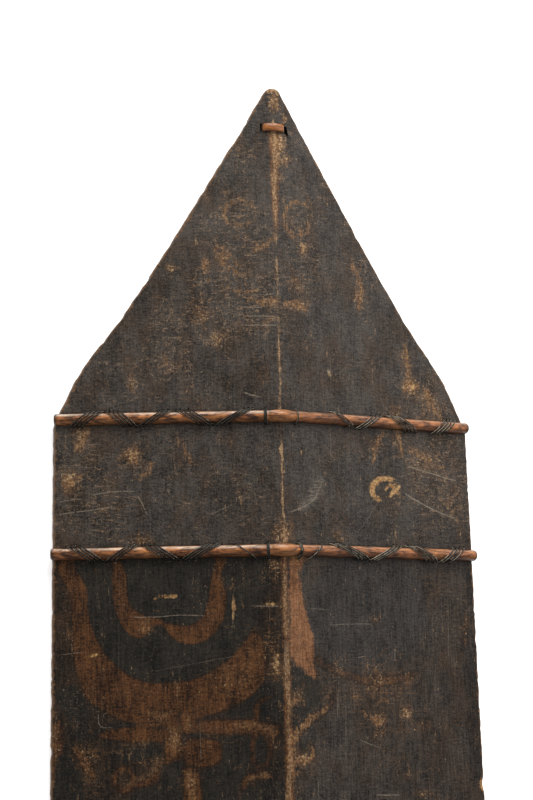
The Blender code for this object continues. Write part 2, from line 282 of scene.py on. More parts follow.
# %% Dents along the rim
DENT_PIXELS = {
    "left": [(243, 121, 5, 1.5), (237, 130, 4, 1.2), (233, 139, 6, 1.3), (222, 160, 3, 0.9),
             (206, 189, 4, 0.8), (172, 243, 3, 0.6), (147, 281, 5, 0.9), (122, 316, 5, 1.0),
             (103, 341, 4, 0.8), (80, 374, 6, 1.0), (53, 611, 4, 0.7), (53, 640, 3, 0.6), (52, 700, 5, 0.8),
             (51, 752, 4, 0.7)],
    "right": [(300, 131, 4, 0.8), (322, 178, 4, 0.8), (343, 213, 3, 0.6), (358, 238, 5, 0.8),
              (381, 282, 3, 0.6), (405, 322, 5, 1.0), (432, 364, 4, 0.8), (447, 388, 3, 0.7),
              (466, 489, 3, 0.8), (474, 610, 3, 0.6), (477, 640, 4, 0.7), (479, 700, 3, 0.6),
              (483, 784, 8, 1.4)],
}
ROUGH_RIM = 0.0008


def dents(y, side):
    """How far the rim is worn in at a row: a fine roughness, and the dents that the photograph shows."""
    worn = ROUGH_RIM * abs(noise.noise(Vector((y * 140, side * 3.1, 0.5))))
    worn += ROUGH_RIM * 0.8 * abs(noise.noise(Vector((y * 420, side * 7.7, 2.5))))
    for end in (1, -1):
        for x, py, reach, depth in DENT_PIXELS["right" if side * end > 0 else "left"]:
            centre = float(on_front([(x, py)])[0, 1]) * end
            fall = abs(y - centre) / (reach * PIXEL)
            worn += max(0.0, 1 - fall**2) * depth * 0.001
    return worn


rim = {}
for side in (-1, 1):
    allowed = half_width(row_places)
    rim[side] = np.array([max(w * 0.5, w - dents(y, side)) for y, w in zip(row_places, allowed)])
    rim[side][np.abs(row_places) > half_length - 0.003] = allowed[np.abs(row_places) > half_length - 0.003]
print("rows", len(row_places), "columns", len(columns(0.2, FRONT_COLUMNS)))


# %% Heights of the front and the back
def quarter_round(inside, radius):
    """How far a rounded edge has dropped at a distance inside it."""
    inside = np.clip(inside, 0.0, radius)
    return radius - np.sqrt(np.maximum(0.0, radius**2 - (radius - inside) ** 2))


rim_lean = np.cos(np.arctan(np.gradient(half_width(row_places), row_places)))


def inside_rim(x, row):
    """Distance of points of one row from the outline."""
    side = np.where(x < 0, -1, 1)
    reach = np.where(side < 0, rim[-1][row], rim[1][row])
    inside = (reach - np.abs(x)) * rim_lean[row]
    y = abs(row_places[row])
    if y > half_length - TIP_RADIUS:
        inside = np.minimum(inside, TIP_RADIUS - np.hypot(x, y - (half_length - TIP_RADIUS)))
    return np.maximum(inside, 0.0)


WAVE_DEPTH, WAVE_FADE = 0.00028, 0.006
ADZE_DEPTH, SCOOP_FROM, SCOOP_FADE = 0.0009, 0.001, 0.008


def front_wave(x, y):
    """Low waves left by the tool, and a finer unevenness along the grain."""
    broad = noise.noise(Vector((x * 17, y * 6, 0.0)))
    fine = noise.noise(Vector((x * 130, y * 22, 4.0)))
    return WAVE_DEPTH * (0.8 * broad + 0.35 * fine)


def adze_mark(x, y):
    """Shallow scoops, longer along the grain, as the adze leaves them in the hollow."""
    nearest = noise.voronoi(Vector((x * 34, y * 13, 0.0)))[0]
    return ADZE_DEPTH * (min(1.0, nearest[1] - nearest[0]) - 0.35)


def row_points(row, count, heights):
    """The points of one row; heights gives their height from x, y and the distance inside the rim."""
    y = row_places[row]
    halves = [columns(rim[side][row], count) for side in (-1, 1)]
    x = np.where(halves[0] < 0, halves[0], halves[1])
    return [Vector((a, y, b)) for a, b in zip(x, heights(x, y, inside_rim(x, row)))]


def front_heights(x, y, inside):
    wave = np.array([front_wave(a, y) for a in x]) * np.clip(inside / WAVE_FADE, 0, 1)
    return front_height(x) - quarter_round(inside, FRONT_ROUND) + wave


def back_heights(x, y, inside):
    plain = back_height(x)
    scoop = np.array([adze_mark(a, y) for a in x]) * np.clip((plain - SCOOP_FROM) / SCOOP_FADE, 0, 1)
    return plain + scoop + quarter_round(inside, BACK_ROUND)


# %% The two grids and the rim between them
def passed_shares(line):
    """For each point of a line, the share of its length that lies before it."""
    steps = [0.0]
    for a, b in zip(line, line[1:]):
        steps.append(steps[-1] + (b.co - a.co).length)
    return [s / max(steps[-1], 1e-9) for s in steps] + [2.0]


def bridge(shape, upper, lower):
    """Fills between two open lines of points that run the same way and start and end together."""
    upper_shares, lower_shares = passed_shares(upper), passed_shares(lower)
    i = j = 0
    while i < len(upper) - 1 or j < len(lower) - 1:
        ahead = upper_shares[i + 1] - lower_shares[j + 1]
        if abs(ahead) < 1e-6:
            shape.faces.new((upper[i], upper[i + 1], lower[j + 1], lower[j]))
            i, j = i + 1, j + 1
        elif ahead < 0:
            shape.faces.new((upper[i], upper[i + 1], lower[j]))
            i += 1
        else:
            shape.faces.new((upper[i], lower[j + 1], lower[j]))
            j += 1


def grid(shape, rows, upwards):
    made = [[shape.verts.new(p) for p in row] for row in rows]
    for near, far in zip(made, made[1:]):
        for k in range(len(near) - 1):
            ring = (near[k], near[k + 1], far[k + 1], far[k])
            shape.faces.new(ring if upwards else ring[::-1])
    return made


def sleeve(shape, rings, closed=False):
    """Joins rings of points one after another, and caps both ends unless the rings come full circle."""
    for near, far in zip(rings, rings[1:] + rings[:1] if closed else rings[1:]):
        for k in range(len(near)):
            following = (k + 1) % len(near)
            shape.faces.new((near[k], near[following], far[following], far[k]))
    if not closed:
        shape.faces.new(rings[0])
        shape.faces.new(rings[-1][::-1])


def new_piece(name, shape, smooth=True):
    """Turns a bmesh into an object of the scene."""
    bmesh.ops.recalc_face_normals(shape, faces=shape.faces)
    mesh = bpy.data.meshes.new(name)
    shape.to_mesh(mesh)
    shape.free()
    if smooth:
        mesh.shade_smooth()
    piece = bpy.data.objects.new(name, mesh)
    bpy.context.scene.collection.objects.link(piece)
    return piece


plank = bmesh.new()
all_rows = range(len(row_places))
front = grid(plank, [row_points(r, FRONT_COLUMNS, front_heights) for r in all_rows], True)
back = grid(plank, [row_points(r, BACK_COLUMNS, back_heights) for r in all_rows], False)
for end in (-1, 0):
    bridge(plank, [row[end] for row in front], [row[end] for row in back])
for end in (0, -1):
    bridge(plank, front[end], back[end])
board = new_piece("painted_board", plank)
print("board faces", len(board.data.polygons))

# %% [markdown]
# ## The grip
# The grip is carved from the same plank: a bar along the middle of the hollow on two sloping feet,
# with a window behind it for four fingers. It is drawn from the side as one closed line, then
# stacked in slices that shrink towards both cheeks, which rounds it as a hand wears it. A union
# joins it to the plank, since the two are one piece of wood.

# %% The grip's side view
GRIP_GAP, GRIP_DEEP, GRIP_HALF_WIDE = 0.0015, 0.0170, 0.0140
WINDOW_HALF, FOOT_LONG, FOOT_SLOPE = 0.059, 0.022, 0.030
GRIP_ROOT, WINDOW_ROUND, CHEEK_ROUND = 0.004, 0.009, 0.0062
FOOT_BEND, FOOT_BEND_ROUND, HEEL_ROUND = 0.42, 0.02, 0.006
BURIED_FROM, BURIED_DEEP = 0.003, 0.010


def rounded(corners, steps=7):
    """A closed line with each corner (x, y, radius) turned into an arc."""
    line = []
    count = len(corners)
    for k, (x, y, radius) in enumerate(corners):
        here = Vector((x, y))
        before = Vector(corners[k - 1][:2]) - here
        after = Vector(corners[(k + 1) % count][:2]) - here
        half_turn = before.angle(after) / 2
        run = min(radius / math.tan(half_turn), before.length * 0.45, after.length * 0.45)
        first = here + before.normalized() * run
        last = here + after.normalized() * run
        for s in range(steps + 1):
            t = s / steps
            line.append(first * (1 - t) ** 2 + here * 2 * t * (1 - t) + last * t**2)
    return line


bar_low, bar_high = GRIP_GAP, GRIP_GAP + GRIP_DEEP
root = HOLLOW_TOP + GRIP_ROOT
foot_low = WINDOW_HALF + FOOT_LONG
foot_high = foot_low + FOOT_SLOPE
upper_foot = [(foot_high, root, 0.002),
              (foot_low + FOOT_SLOPE * FOOT_BEND, bar_high - 0.001, FOOT_BEND_ROUND),
              (foot_low, bar_low, HEEL_ROUND)]
window = [(-WINDOW_HALF, root, 0.001), (-WINDOW_HALF, bar_high, WINDOW_ROUND),
          (WINDOW_HALF, bar_high, WINDOW_ROUND), (WINDOW_HALF, root, 0.001)]
side_line = rounded(upper_foot + [(-x, y, radius) for x, y, radius in reversed(upper_foot)] + window)


def pulled_in(line, amount):
    """The closed line moved inwards, but not where it is buried in the plank."""
    moved = []
    for k, here in enumerate(line):
        along = line[(k + 1) % len(line)] - line[k - 1]
        inward = Vector((along.y, -along.x)).normalized()
        buried = min(1.0, max(0.0, (HOLLOW_TOP - BURIED_FROM - here.y) / BURIED_DEEP))
        moved.append(here + inward * amount * buried)
    return moved


area = sum(a.x * b.y - b.x * a.y for a, b in zip(side_line, side_line[1:] + side_line[:1]))
inward_sign = 1 if area < 0 else -1
slices = [(-GRIP_HALF_WIDE + CHEEK_ROUND * (1 - math.cos(a)), CHEEK_ROUND * (1 - math.sin(a)))
          for a in np.linspace(0, math.pi / 2, 7)]
slices += [(-x, inset) for x, inset in reversed(slices)]
grip_shape = bmesh.new()
rings = []
for x, inset in slices:
    ring = pulled_in(side_line, inset * inward_sign)
    rings.append([grip_shape.verts.new((x, p.x, p.y)) for p in ring])
sleeve(grip_shape, rings)
grip = new_piece("grip_form", grip_shape)
print("grip", len(grip.data.polygons), "faces, window", 2 * WINDOW_HALF, "m long")

# %% [markdown]
# ## Where the strands go
# Each cane is held by a bundle of split strands that zigzags over it. Every strand has its own
# small hole on both sides of the cane. The holes are needed now, to be cut in the board, and the
# strands later, so the legs of the zigzag are listed once: each is two places along the cane,
# as shares of the way from ridge to rim, and the number of strands that lie side by side.

# %% The legs of every lashing
BAND_FROM_TIP = {"outer": 0.306, "inner": 0.426}
LEG_ENDS = {
    ("outer", "left"): (0.915, 0.822, 0.755, 0.675, 0.612, 0.504, 0.441, 0.334, 0.268, 0.145, 0.07, 0.07),
    ("outer", "right"): (0.912, 0.838, 0.690, 0.585, 0.510, 0.410, 0.364, 0.268, 0.07, 0.07),
    ("inner", "left"): (0.915, 0.812, 0.752, 0.652, 0.592, 0.486, 0.418, 0.298, 0.218, 0.125, 0.07, 0.07),
    ("inner", "right"): (0.918, 0.840, 0.768, 0.655, 0.586, 0.455, 0.406, 0.258, 0.190, 0.125, 0.07, 0.07),
}
LEG_STRANDS = {
    ("outer", "left"): (4, 4, 3, 4, 3, 2),
    ("outer", "right"): (4, 4, 3, 2, 1),
    ("inner", "left"): (4, 3, 4, 4, 1, 2),
    ("inner", "right"): (4, 4, 3, 4, 1, 2),
}
STARTS_LOW = {("outer", "left"): True, ("outer", "right"): False,
              ("inner", "left"): False, ("inner", "right"): False}
STRAND_STEP, RING_STEP = 0.0038, 0.0013
STRAND_WIDE, STRAND_THICK = 0.00136, 0.00076
CANE_HALF, CANE_HIGH, FIT_GAP = 0.00525, 0.0058, 0.0004
HOLE_OFF = CANE_HALF + FIT_GAP + 0.0014


class Strand:
    """One strand of one leg: where it starts and ends along the cane, and which end is below it."""

    def __init__(self, lashing, side, band_y, low, high, order_in_leg):
        self.lashing, self.side, self.band_y = lashing, side, band_y
        self.low, self.high, self.order_in_leg = low, high, order_in_leg


strands, back_runs = [], []
for end_name, end in (("upper", 1), ("lower", -1)):
    for (band, side_name), shares in LEG_ENDS.items():
        band_y = end * (half_length - BAND_FROM_TIP[band])
        side = -1 if side_name == "left" else 1
        lashing = f"lashing_{end_name}_{band}_{side_name}"
        low_first = STARTS_LOW[band, side_name] == (end > 0)
        reach = float(half_width(band_y))
        last = None
        for leg, count in enumerate(LEG_STRANDS[band, side_name]):
            first, second = shares[2 * leg] * reach, shares[2 * leg + 1] * reach
            step = RING_STEP if first == second else STRAND_STEP
            starts_low = low_first == (leg % 2 == 0)
            for n in range(count):
                off = (n - (count - 1) / 2) * step
                near, far = first + off, second + off
                low, high = (near, far) if starts_low else (far, near)
                strands.append(Strand(lashing, side, band_y, low, high, n))
            if last is not None:
                old_end, old_count = last
                for n in range(min(count, old_count)):
                    shift_old = (n - (old_count - 1) / 2) * STRAND_STEP
                    shift_new = (n - (count - 1) / 2) * step
                    ends = (old_end + shift_old, first + shift_new)
                    back_runs.append((lashing, side, band_y,
                                      *ends, -1 if starts_low else 1, n - (count - 1) / 2))
            last = (second, count)
print("strands", len(strands), "runs behind the board", len(back_runs))

# %% Cutters for the holes
HOLE_WIDE, HOLE_LONG, HOLE_SIDES = 0.00088, 0.00082, 6
HOLE_ABOVE, HOLE_THROUGH = 0.004, 0.030
HOLE_WANDER_X, HOLE_WANDER_Y = 0.0003, 0.0009
LOOP_FROM_TIP, LOOP_HALF_SPAN, LOOP_WIDE = 0.038, 0.0088, 0.0074
LOOP_THICK, LOOP_PROUD, LOOP_BACK = 0.0015, 0.0016, 0.0045
SLOT_EASE, SLOT_HIGH = 0.0003, 0.08
TORN_SLOT = [(9.6, -4.0), (11.2, -4.8), (14.6, -8.0), (14.4, -3.0), (13.0, 2.4), (9.6, 3.0)]
WORN_SLOT = [(-12.6, -3.6), (-8.6, -4.4), (-8.6, 4.2), (-12.2, 3.8)]


def slanted(side, across, y, height):
    """A point at a distance from the ridge, and at a height square off the front."""
    out = Vector((side * math.sin(ROOF_ANGLE), 0, math.cos(ROOF_ANGLE)))
    return Vector((side * across, y, SHARP_RIDGE - across * ROOF_SLOPE)) + out * height


cutters = bmesh.new()


def cut_prism(ring, way):
    sleeve(cutters, [[cutters.verts.new(p) for p in ring], [cutters.verts.new(p + way) for p in ring]])


for strand in strands:
    side = strand.side
    through = slanted(side, 0, 0, -HOLE_THROUGH) - slanted(side, 0, 0, 0.0)
    for across, where in ((strand.low, -1), (strand.high, 1)):
        wander = Vector((dice.uniform(-1, 1) * HOLE_WANDER_X, dice.uniform(0, 1) * HOLE_WANDER_Y * where, 0))
        across += wander.x
        y = strand.band_y + where * HOLE_OFF + wander.y
        turns = [2 * math.pi * (k + 0.5) / HOLE_SIDES for k in range(HOLE_SIDES)]
        cut_prism([slanted(side, across + HOLE_WIDE * math.cos(a), y + HOLE_LONG * math.sin(a), HOLE_ABOVE)
                   for a in turns], through)
loop_y = half_length - LOOP_FROM_TIP
low_y, high_y = loop_y - LOOP_WIDE / 2 - SLOT_EASE, loop_y + LOOP_WIDE / 2 + SLOT_EASE
for side in (-1, 1):
    a, b = side * (LOOP_HALF_SPAN - 0.0004), side * (LOOP_HALF_SPAN + LOOP_THICK + SLOT_EASE)
    ring = [Vector((x, y, SLOT_HIGH)) for x, y in ((a, high_y), (b, high_y), (b, low_y), (a, low_y))]
    cut_prism(ring, Vector((0, 0, -SLOT_HIGH)))
torn_top = float(front_height(LOOP_HALF_SPAN)) + 0.004
for places, depth in ((TORN_SLOT, 0.0105), (WORN_SLOT, 0.0078)):
    ring = [Vector((x / 1000, loop_y + y / 1000, torn_top)) for x, y in places]
    cut_prism(ring, Vector((0, 0, -depth)))
print("holes", 2 * len(strands), "and slots", 4)

# %% Gouges and lost chips
GOUGES = [((153, 600), (161, 596), (176, 596), 1.7, 1.1), ((233, 628), (234, 611), (233, 596), 0.9, 0.6),
          ((405, 390), (409, 384), (415, 377), 2.4, 0.9), ((300, 253), (303, 248), (304, 243), 2.0, 0.8),
          ((358, 311), (359, 306), (360, 301), 1.8, 0.8), ((245, 254), (250, 255), (258, 255), 1.1, 0.6),
          ((244, 329), (258, 328), (275, 329), 1.0, 0.6), ((256, 321), (266, 320), (277, 320), 1.0, 0.6),
          ((91, 656), (94, 655), (97, 655), 1.6, 0.7), ((326, 374), (329, 374), (332, 375), 1.6, 0.7),
          ((166, 269), (171, 268), (176, 267), 2.2, 0.9), ((480, 790), (482, 784), (484, 778), 2.6, 1.4)]
GOUGE_SLICES, GOUGE_ABOVE = 7, Vector((0, 0, 0.0008))
for *pixels, wide, deep in GOUGES:
    places = on_front(pixels)
    rings = []
    for s in range(GOUGE_SLICES + 1):
        t = s / GOUGE_SLICES
        place = places[0] * (1 - t) ** 2 + places[1] * 2 * t * (1 - t) + places[2] * t**2
        way = (places[1] - places[0]) * (1 - t) + (places[2] - places[1]) * t
        way = way / max(np.linalg.norm(way), 1e-9)
        swell = max(0.12, math.sin(math.pi * (0.04 + 0.92 * t)))
        z = float(front_height(place[0])) + front_wave(place[0], place[1])
        middle = Vector((place[0], place[1], z))
        cross = Vector((-way[1], way[0], 0)) * (wide * PIXEL * 0.5 * swell)
        ring = (middle + cross + GOUGE_ABOVE, middle - cross + GOUGE_ABOVE,
                middle - Vector((0, 0, deep * 0.001 * swell)))
        rings.append([cutters.verts.new(p) for p in ring])
    sleeve(cutters, rings)
cutter = new_piece("hole_forms", cutters, smooth=False)
print("gouges", len(GOUGES))


# %% Join the grip and cut the holes
def boolean(target, other, operation):
    added = target.modifiers.new(operation.lower(), "BOOLEAN")
    added.operation = operation
    added.solver = "MANIFOLD"
    added.object = other


boolean(board, grip, "UNION")
boolean(board, cutter, "DIFFERENCE")
evaluated = board.evaluated_get(bpy.context.evaluated_depsgraph_get())
finished = bpy.data.meshes.new_from_object(evaluated)
board.modifiers.clear()
board.data = finished
for helper in (grip, cutter):
    bpy.data.objects.remove(helper)
board.data.shade_smooth()
board.data.set_sharp_from_angle(angle=math.radians(38))
triangles = sum(len(face.vertices) - 2 for face in board.data.polygons)
print("board after cutting:", triangles, "triangles")

# %% [markdown]
# ## Painted shapes
# The maker painted the front in broad red-brown and black areas: a large round eye over a crescent
# jaw on each face, with scrolls and short bars between the faces. Each area is drawn here as a plain
# shape, and every point of the board keeps its distance to the nearest painted edge. A distance
# changes evenly over the surface, so the shader can cut it into a clean edge much finer than the
# mesh. The photograph stops just past the middle, so the lower face repeats the upper one.

# %% Shapes as distances
FAR = 0.03
points = mesh_points(board.data)
across, along, height = points.T
on_the_front = height > (front_height(across) + back_height(across)) / 2
rim_distance = (half_width(along) - np.abs(across)) * np.interp(along, row_places, rim_lean)


def curve_through(places, closed, steps=5):
    """Extra places on a smooth curve through the given ones."""
    places = np.array(places, float)
    count = len(places)
    made = []
    for k in range(count if closed else count - 1):
        ids = [(k + j) % count if closed else min(max(k + j, 0), count - 1) for j in (-1, 0, 1, 2)]
        a, b, c, d = places[ids]
        for s in range(steps):
            t = s / steps
            made.append(0.5 * (2 * b + (c - a) * t + (2 * a - 5 * b + 4 * c - d) * t**2
                               + (3 * b - a - 3 * c + d) * t**3))
    if not closed:
        made.append(places[-1])
    return np.array(made)


def box_round(line, x, y, reach):
    """Which points lie within reach of the box round a line."""
    low, high = line.min(0) - reach, line.max(0) + reach
    return (x > low[0]) & (x < high[0]) & (y > low[1]) & (y < high[1])


def nearest_on_line(x, y, line, closed):
    """For each point: distance to the line, its side, and the share of the line passed."""
    ends = np.roll(line, -1, 0) if closed else line[1:]
    starts = line if closed else line[:-1]
    best = np.full(len(x), FAR)
    side = np.ones(len(x))
    passed = np.zeros(len(x))
    for k, (a, b) in enumerate(zip(starts, ends)):
        way = b - a
        size = max(float(way @ way), 1e-12)
        t = np.clip(((x - a[0]) * way[0] + (y - a[1]) * way[1]) / size, 0, 1)
        dx, dy = x - a[0] - way[0] * t, y - a[1] - way[1] * t
        away = np.hypot(dx, dy)
        nearer = away < best
        best = np.where(nearer, away, best)
        side = np.where(nearer, np.sign(way[0] * dy - way[1] * dx + 1e-15), side)
        passed = np.where(nearer, (k + t) / len(starts), passed)
    return best, side, passed


class Area:
    """A filled shape, from places on its edge."""

    def __init__(self, pixels):
        self.line = curve_through(on_front(pixels), True)

    def depth_near(self, x, y):
        """How deep inside the shape each point near it is, negative outside."""
        away, _, _ = nearest_on_line(x, y, self.line, True)
        inside = np.zeros(len(x), bool)
        for a, b in zip(self.line, np.roll(self.line, -1, 0)):
            if a[1] != b[1]:
                crossed = (a[1] > y) != (b[1] > y)
                inside ^= crossed & (x < (b[0] - a[0]) * (y - a[1]) / (b[1] - a[1]) + a[0])
        return np.where(inside, away, -away)


class Stroke:
    """A brush stroke along a curve, with its half width in pixels at even shares of its length."""

    def __init__(self, pixels, halves, closed=False):
        self.line = curve_through(on_front(pixels), closed)
        self.halves = np.array(halves, float) * PIXEL
        self.closed = closed

    def depth_near(self, x, y):
        away, _, passed = nearest_on_line(x, y, self.line, self.closed)
        return np.interp(passed, np.linspace(0, 1, len(self.halves)), self.halves) - away


def deepest(shapes, x, y):
    """How deep each point is in any of the shapes."""
    found = np.full(len(x), -FAR)
    for shape in shapes:
        near = box_round(shape.line, x, y, FAR)
        if near.any():
            found[near] = np.maximum(found[near], shape.depth_near(x[near], y[near]))
    return found


def round_pixels(centre, wide, high, start=0, end=360, count=10):
    """Pixels on an oval, from one angle to another, anticlockwise from the right."""
    angles = np.radians(np.linspace(start, end, count, endpoint=end - start < 360))
    return [(centre[0] + wide * math.cos(a), centre[1] - high * math.sin(a)) for a in angles]


print("points on the front", int(on_the_front.sum()))

# %% The face on the left half
pupil = Area([(127, 553), (127, 575), (128, 592), (133, 607), (146, 615), (160, 618), (170, 623),
              (188, 625), (201, 618), (207, 603), (209, 585), (208, 553)])
eye_socket = Area([(113, 553), (112, 585), (114, 608), (121, 626), (133, 638), (146, 637), (153, 627),
                   (163, 627), (172, 639), (188, 645), (206, 641), (219, 629), (226, 613), (227, 594),
                   (221, 576), (219, 553)])
jaw_inside = Area([(88, 553), (88, 590), (89, 612), (98, 640), (115, 664), (140, 680), (165, 682),
                   (201, 676), (231, 656), (252, 629), (263, 600), (270, 553)])
jaw_outside = Area([(71, 553), (71, 600), (72, 640), (76, 672), (86, 698), (104, 712), (126, 722),
                    (152, 728), (187, 722), (221, 712), (246, 700), (262, 686), (267, 664), (263, 640),
                    (254, 627), (262, 600), (270, 553)])
left_trunk = Area([(164, 712), (179, 714), (182, 735), (181, 757), (172, 762), (164, 752), (165, 735)])
left_top_knob = Area([(182, 713), (190, 712), (195, 721), (193, 732), (185, 735), (181, 724)])
left_knob = Area([(184, 743), (193, 738), (208, 738), (219, 742), (223, 752), (219, 763), (206, 768),
                  (192, 766), (183, 758)])
left_bar = Area([(197, 722), (214, 720), (240, 719), (262, 721), (279, 726), (278, 737), (258, 735),
                 (232, 735), (206, 734), (197, 731)])
left_stripe = Area([(182, 769), (193, 767), (200, 778), (202, 812), (184, 812), (184, 786)])
left_ring = Stroke(round_pixels((261, 750), 9, 18), [3.0], closed=True)
left_curl = Stroke([(257, 720), (257, 708), (262, 700), (272, 698)], [3.2, 3.4, 3.2, 1.8])
left_hook = Stroke([(243, 789), (246, 780), (254, 776), (271, 776)], [2.8, 3.6, 3.8, 3.0])
left_scroll = Stroke([(173, 754), (166, 768), (154, 779), (138, 786)], [5.0, 5.0, 4.5, 3.0])
left_edge_bar = Area([(54, 722), (62, 720), (64, 745), (60, 775), (52, 780), (52, 745)])
left_low_brown = Area([(100, 729), (122, 727), (150, 727), (166, 730), (164, 742), (140, 743), (118, 741),
                       (102, 739)])
left_haze = Stroke([(74, 748), (84, 762), (92, 776)], [3.0, 5.0, 3.5])
left_foot = Stroke(round_pixels((124, 780), 9, 11), [3.0], closed=True)

dark_patch = Area([(57, 688), (70, 686), (81, 692), (86, 706), (90, 722), (80, 742), (70, 722), (58, 702)])
dark_wedge = Stroke([(82, 742), (96, 733), (112, 727), (147, 722)], [2.8, 3.0, 2.2, 0.9])
dark_right_wedge = Area([(226, 717), (238, 707), (250, 698), (262, 685), (272, 681), (284, 681), (284, 719),
                         (262, 718), (240, 717)])
dark_blob = Area([(134, 745), (150, 742), (162, 746), (160, 756), (146, 760), (128, 762), (112, 760),
                  (112, 752), (124, 750)])
dark_column = Area([(225, 739), (250, 739), (249, 768), (238, 790), (238, 812), (208, 812), (206, 772),
                    (222, 764)])
dark_gap = Area([(160, 768), (170, 762), (181, 764), (182, 790), (182, 812), (158, 812), (158, 786)])
dark_ring_inside = Area(round_pixels((261, 750), 5.5, 14))
dark_foot = Area([(134, 793), (156, 789), (158, 812), (132, 812)])
dark_left = Area([(57, 758), (72, 756), (80, 775), (80, 812), (54, 812), (54, 780)])
dark_under_hook = Area([(245, 791), (258, 784), (284, 782), (284, 812), (242, 812)])
dark_lines = [Stroke([(186, 737), (206, 736), (226, 738)],
                     [1.3]), Stroke([(180, 712), (178, 724), (181, 737)], [1.1]),
              Stroke([(206, 717), (220, 716), (234, 716)], [0.9, 1.4, 1.8])]
dark_bands = [Stroke([(109, 553), (109, 575), (109, 594)], [3]), Stroke([(93, 553), (93, 575), (93, 594)],
                                                                        [3.4])]
print("left eye is", round(float(on_front([(227, 600)])[0, 0] - on_front([(113, 600)])[0, 0]), 3), "m across")

# %% The face on the right half
big_disc = Area(round_pixels((366, 612), 60, 62, count=16))
ridge_lens = Area([(291, 553), (305, 558), (299, 570), (300, 584), (303, 602), (308, 620), (313, 636),
                   (314, 650), (311, 662), (316, 674), (326, 689), (314, 681), (302, 668), (291, 657),
                   (290, 620), (290, 580)])
lens_tail = Stroke([(318, 660), (330, 668), (348, 672)], [4.5, 4.0, 2.5])
disc_rim = Stroke([(330, 668), (348, 675), (376, 681), (402, 678), (418, 672)], [2.0, 4.0, 5.0, 3.5, 1.5])
right_scroll = Stroke([(296, 740), (300, 730), (309, 721), (320, 713), (330, 706), (333, 694)],
                      [5.0, 4.5, 4.0, 3.6, 3.0, 1.6])
right_stem = Area([(289, 728), (296, 732), (300, 745), (298, 766), (289, 769)])
right_loop = Stroke([(307, 745), (312, 748), (313, 756), (306, 762), (296, 762)], [1.6, 2.8, 3.0, 3.0, 2.4])
right_curl = Stroke([(289, 707), (294, 700), (302, 701), (305, 709)], [2.2, 3.0, 2.6, 1.4])
right_foot = Stroke([(291, 774), (300, 773), (306, 778)], [2.2, 2.6, 1.4])
dark_under_lens = Area([(289, 662), (303, 672), (320, 681), (325, 692), (315, 706), (303, 716), (297, 726),
                        (291, 722), (289, 690)])
dark_in_curl = Area([(292, 708), (300, 706), (304, 713), (298, 722), (292, 721)])
dark_in_loop = Area(round_pixels((303, 749), 5.5, 9))

face_brown = [jaw_outside, disc_rim, lens_tail]
on_black = [left_ring, left_curl, left_hook, left_knob, right_scroll, right_stem, right_loop,
            right_curl, right_foot]
middle_brown = [left_trunk, left_top_knob, left_bar, left_stripe, left_scroll, left_edge_bar,
                left_low_brown, left_haze, left_foot, *on_black]
face_black = [dark_patch, *dark_bands]
middle_black = [dark_wedge, dark_right_wedge, dark_blob, dark_column, dark_gap, dark_foot, dark_left,
                dark_under_hook, dark_in_curl, dark_in_loop, *dark_lines]
print("brown shapes", len(face_brown + middle_brown), "black shapes", len(face_black + middle_black))

# %% Distances to the painted edges, at every point
INNER_BAND = half_length - BAND_FROM_TIP["inner"]
LOWER_FACE_END, UPPER_FACE_END = 0.066, 0.025
squeeze = (INNER_BAND - UPPER_FACE_END) / (INNER_BAND - LOWER_FACE_END)


def face_place(y):
    """Where a point of the lower half falls on the upper face, which is a little longer."""
    return np.where(y > 0, y, INNER_BAND - (INNER_BAND + y) * squeeze)


def face_and_middle(face, middle):
    upper = deepest(face, across, along)
    lower = deepest(face, across, face_place(along))
    return np.maximum(np.where(along > -0.005, upper, lower), deepest(middle, across, along))


socket = face_and_middle([eye_socket], [])
eye = face_and_middle([pupil], [])
inside_jaw = face_and_middle([jaw_inside], [])
brown = np.maximum(face_and_middle(face_brown, middle_brown), socket)
brown = np.minimum(brown, np.maximum(-inside_jaw, socket))
brown = np.minimum(brown, -eye)
black = np.maximum(np.minimum(inside_jaw, -socket), eye)
black = np.maximum(black, face_and_middle(face_black, middle_black))
black = np.minimum(black, -face_and_middle([], on_black))
dark_lens = face_and_middle([dark_under_lens], [])
lens = np.minimum(face_and_middle([ridge_lens], []), -dark_lens)
disc = face_and_middle([big_disc], [])
black = np.maximum(black, np.minimum(dark_lens, -face_and_middle([], on_black)))
black = np.maximum(black, face_and_middle([], [dark_ring_inside]))


def keep(name, values):
    """Stores one number for every point of the board, for the shader to read."""
    attribute = board.data.attributes.new(name, "FLOAT", "POINT")
    attribute.data.foreach_set("value", np.asarray(values, np.float32))


CUT_FROM, CUT_FULL, CUT_OFF_RIM = 0.00015, 0.0004, 0.0022
FACE_FADE, MIDDLE_FADE = 0.006, 0.003
below = front_height(across) - height
can_be_cut = on_the_front & (below > CUT_FROM) & (rim_distance > CUT_OFF_RIM)
cut_depth = np.zeros(len(across))
for *pixels, wide, _ in GOUGES:
    away, _, _ = nearest_on_line(across, along, on_front(pixels), False)
    in_gouge = can_be_cut & (away < wide * PIXEL)
    cut_depth = np.where(in_gouge, np.clip(below / CUT_FULL, 0, 1), cut_depth)
keep("gouge", cut_depth)
keep("in_face", np.clip((INNER_BAND - np.abs(along)) / FACE_FADE, 0, 1))
keep("left_half", np.clip(0.5 - across / MIDDLE_FADE, 0, 1))
for name, values in (("brown", brown), ("black", black), ("lens", lens), ("disc", disc)):
    keep(name + "_depth", np.where(on_the_front, values, -FAR))
print("points under brown paint", int((brown > 0).sum()), "under black", int((black > 0).sum()))

# %% [markdown]
# ## Wear
# The paint is worn off in many small places: most along the ridge, round the tip and beside the
# canes, where hands and walls rub. Each worn place is a soft oval, given by its box of pixels and
# how worn it is. The shader later breaks its edge up with noise, so that no oval shows. Scratches
# are longer than they are wide, so they are kept as distances to a line, like the painted edges.

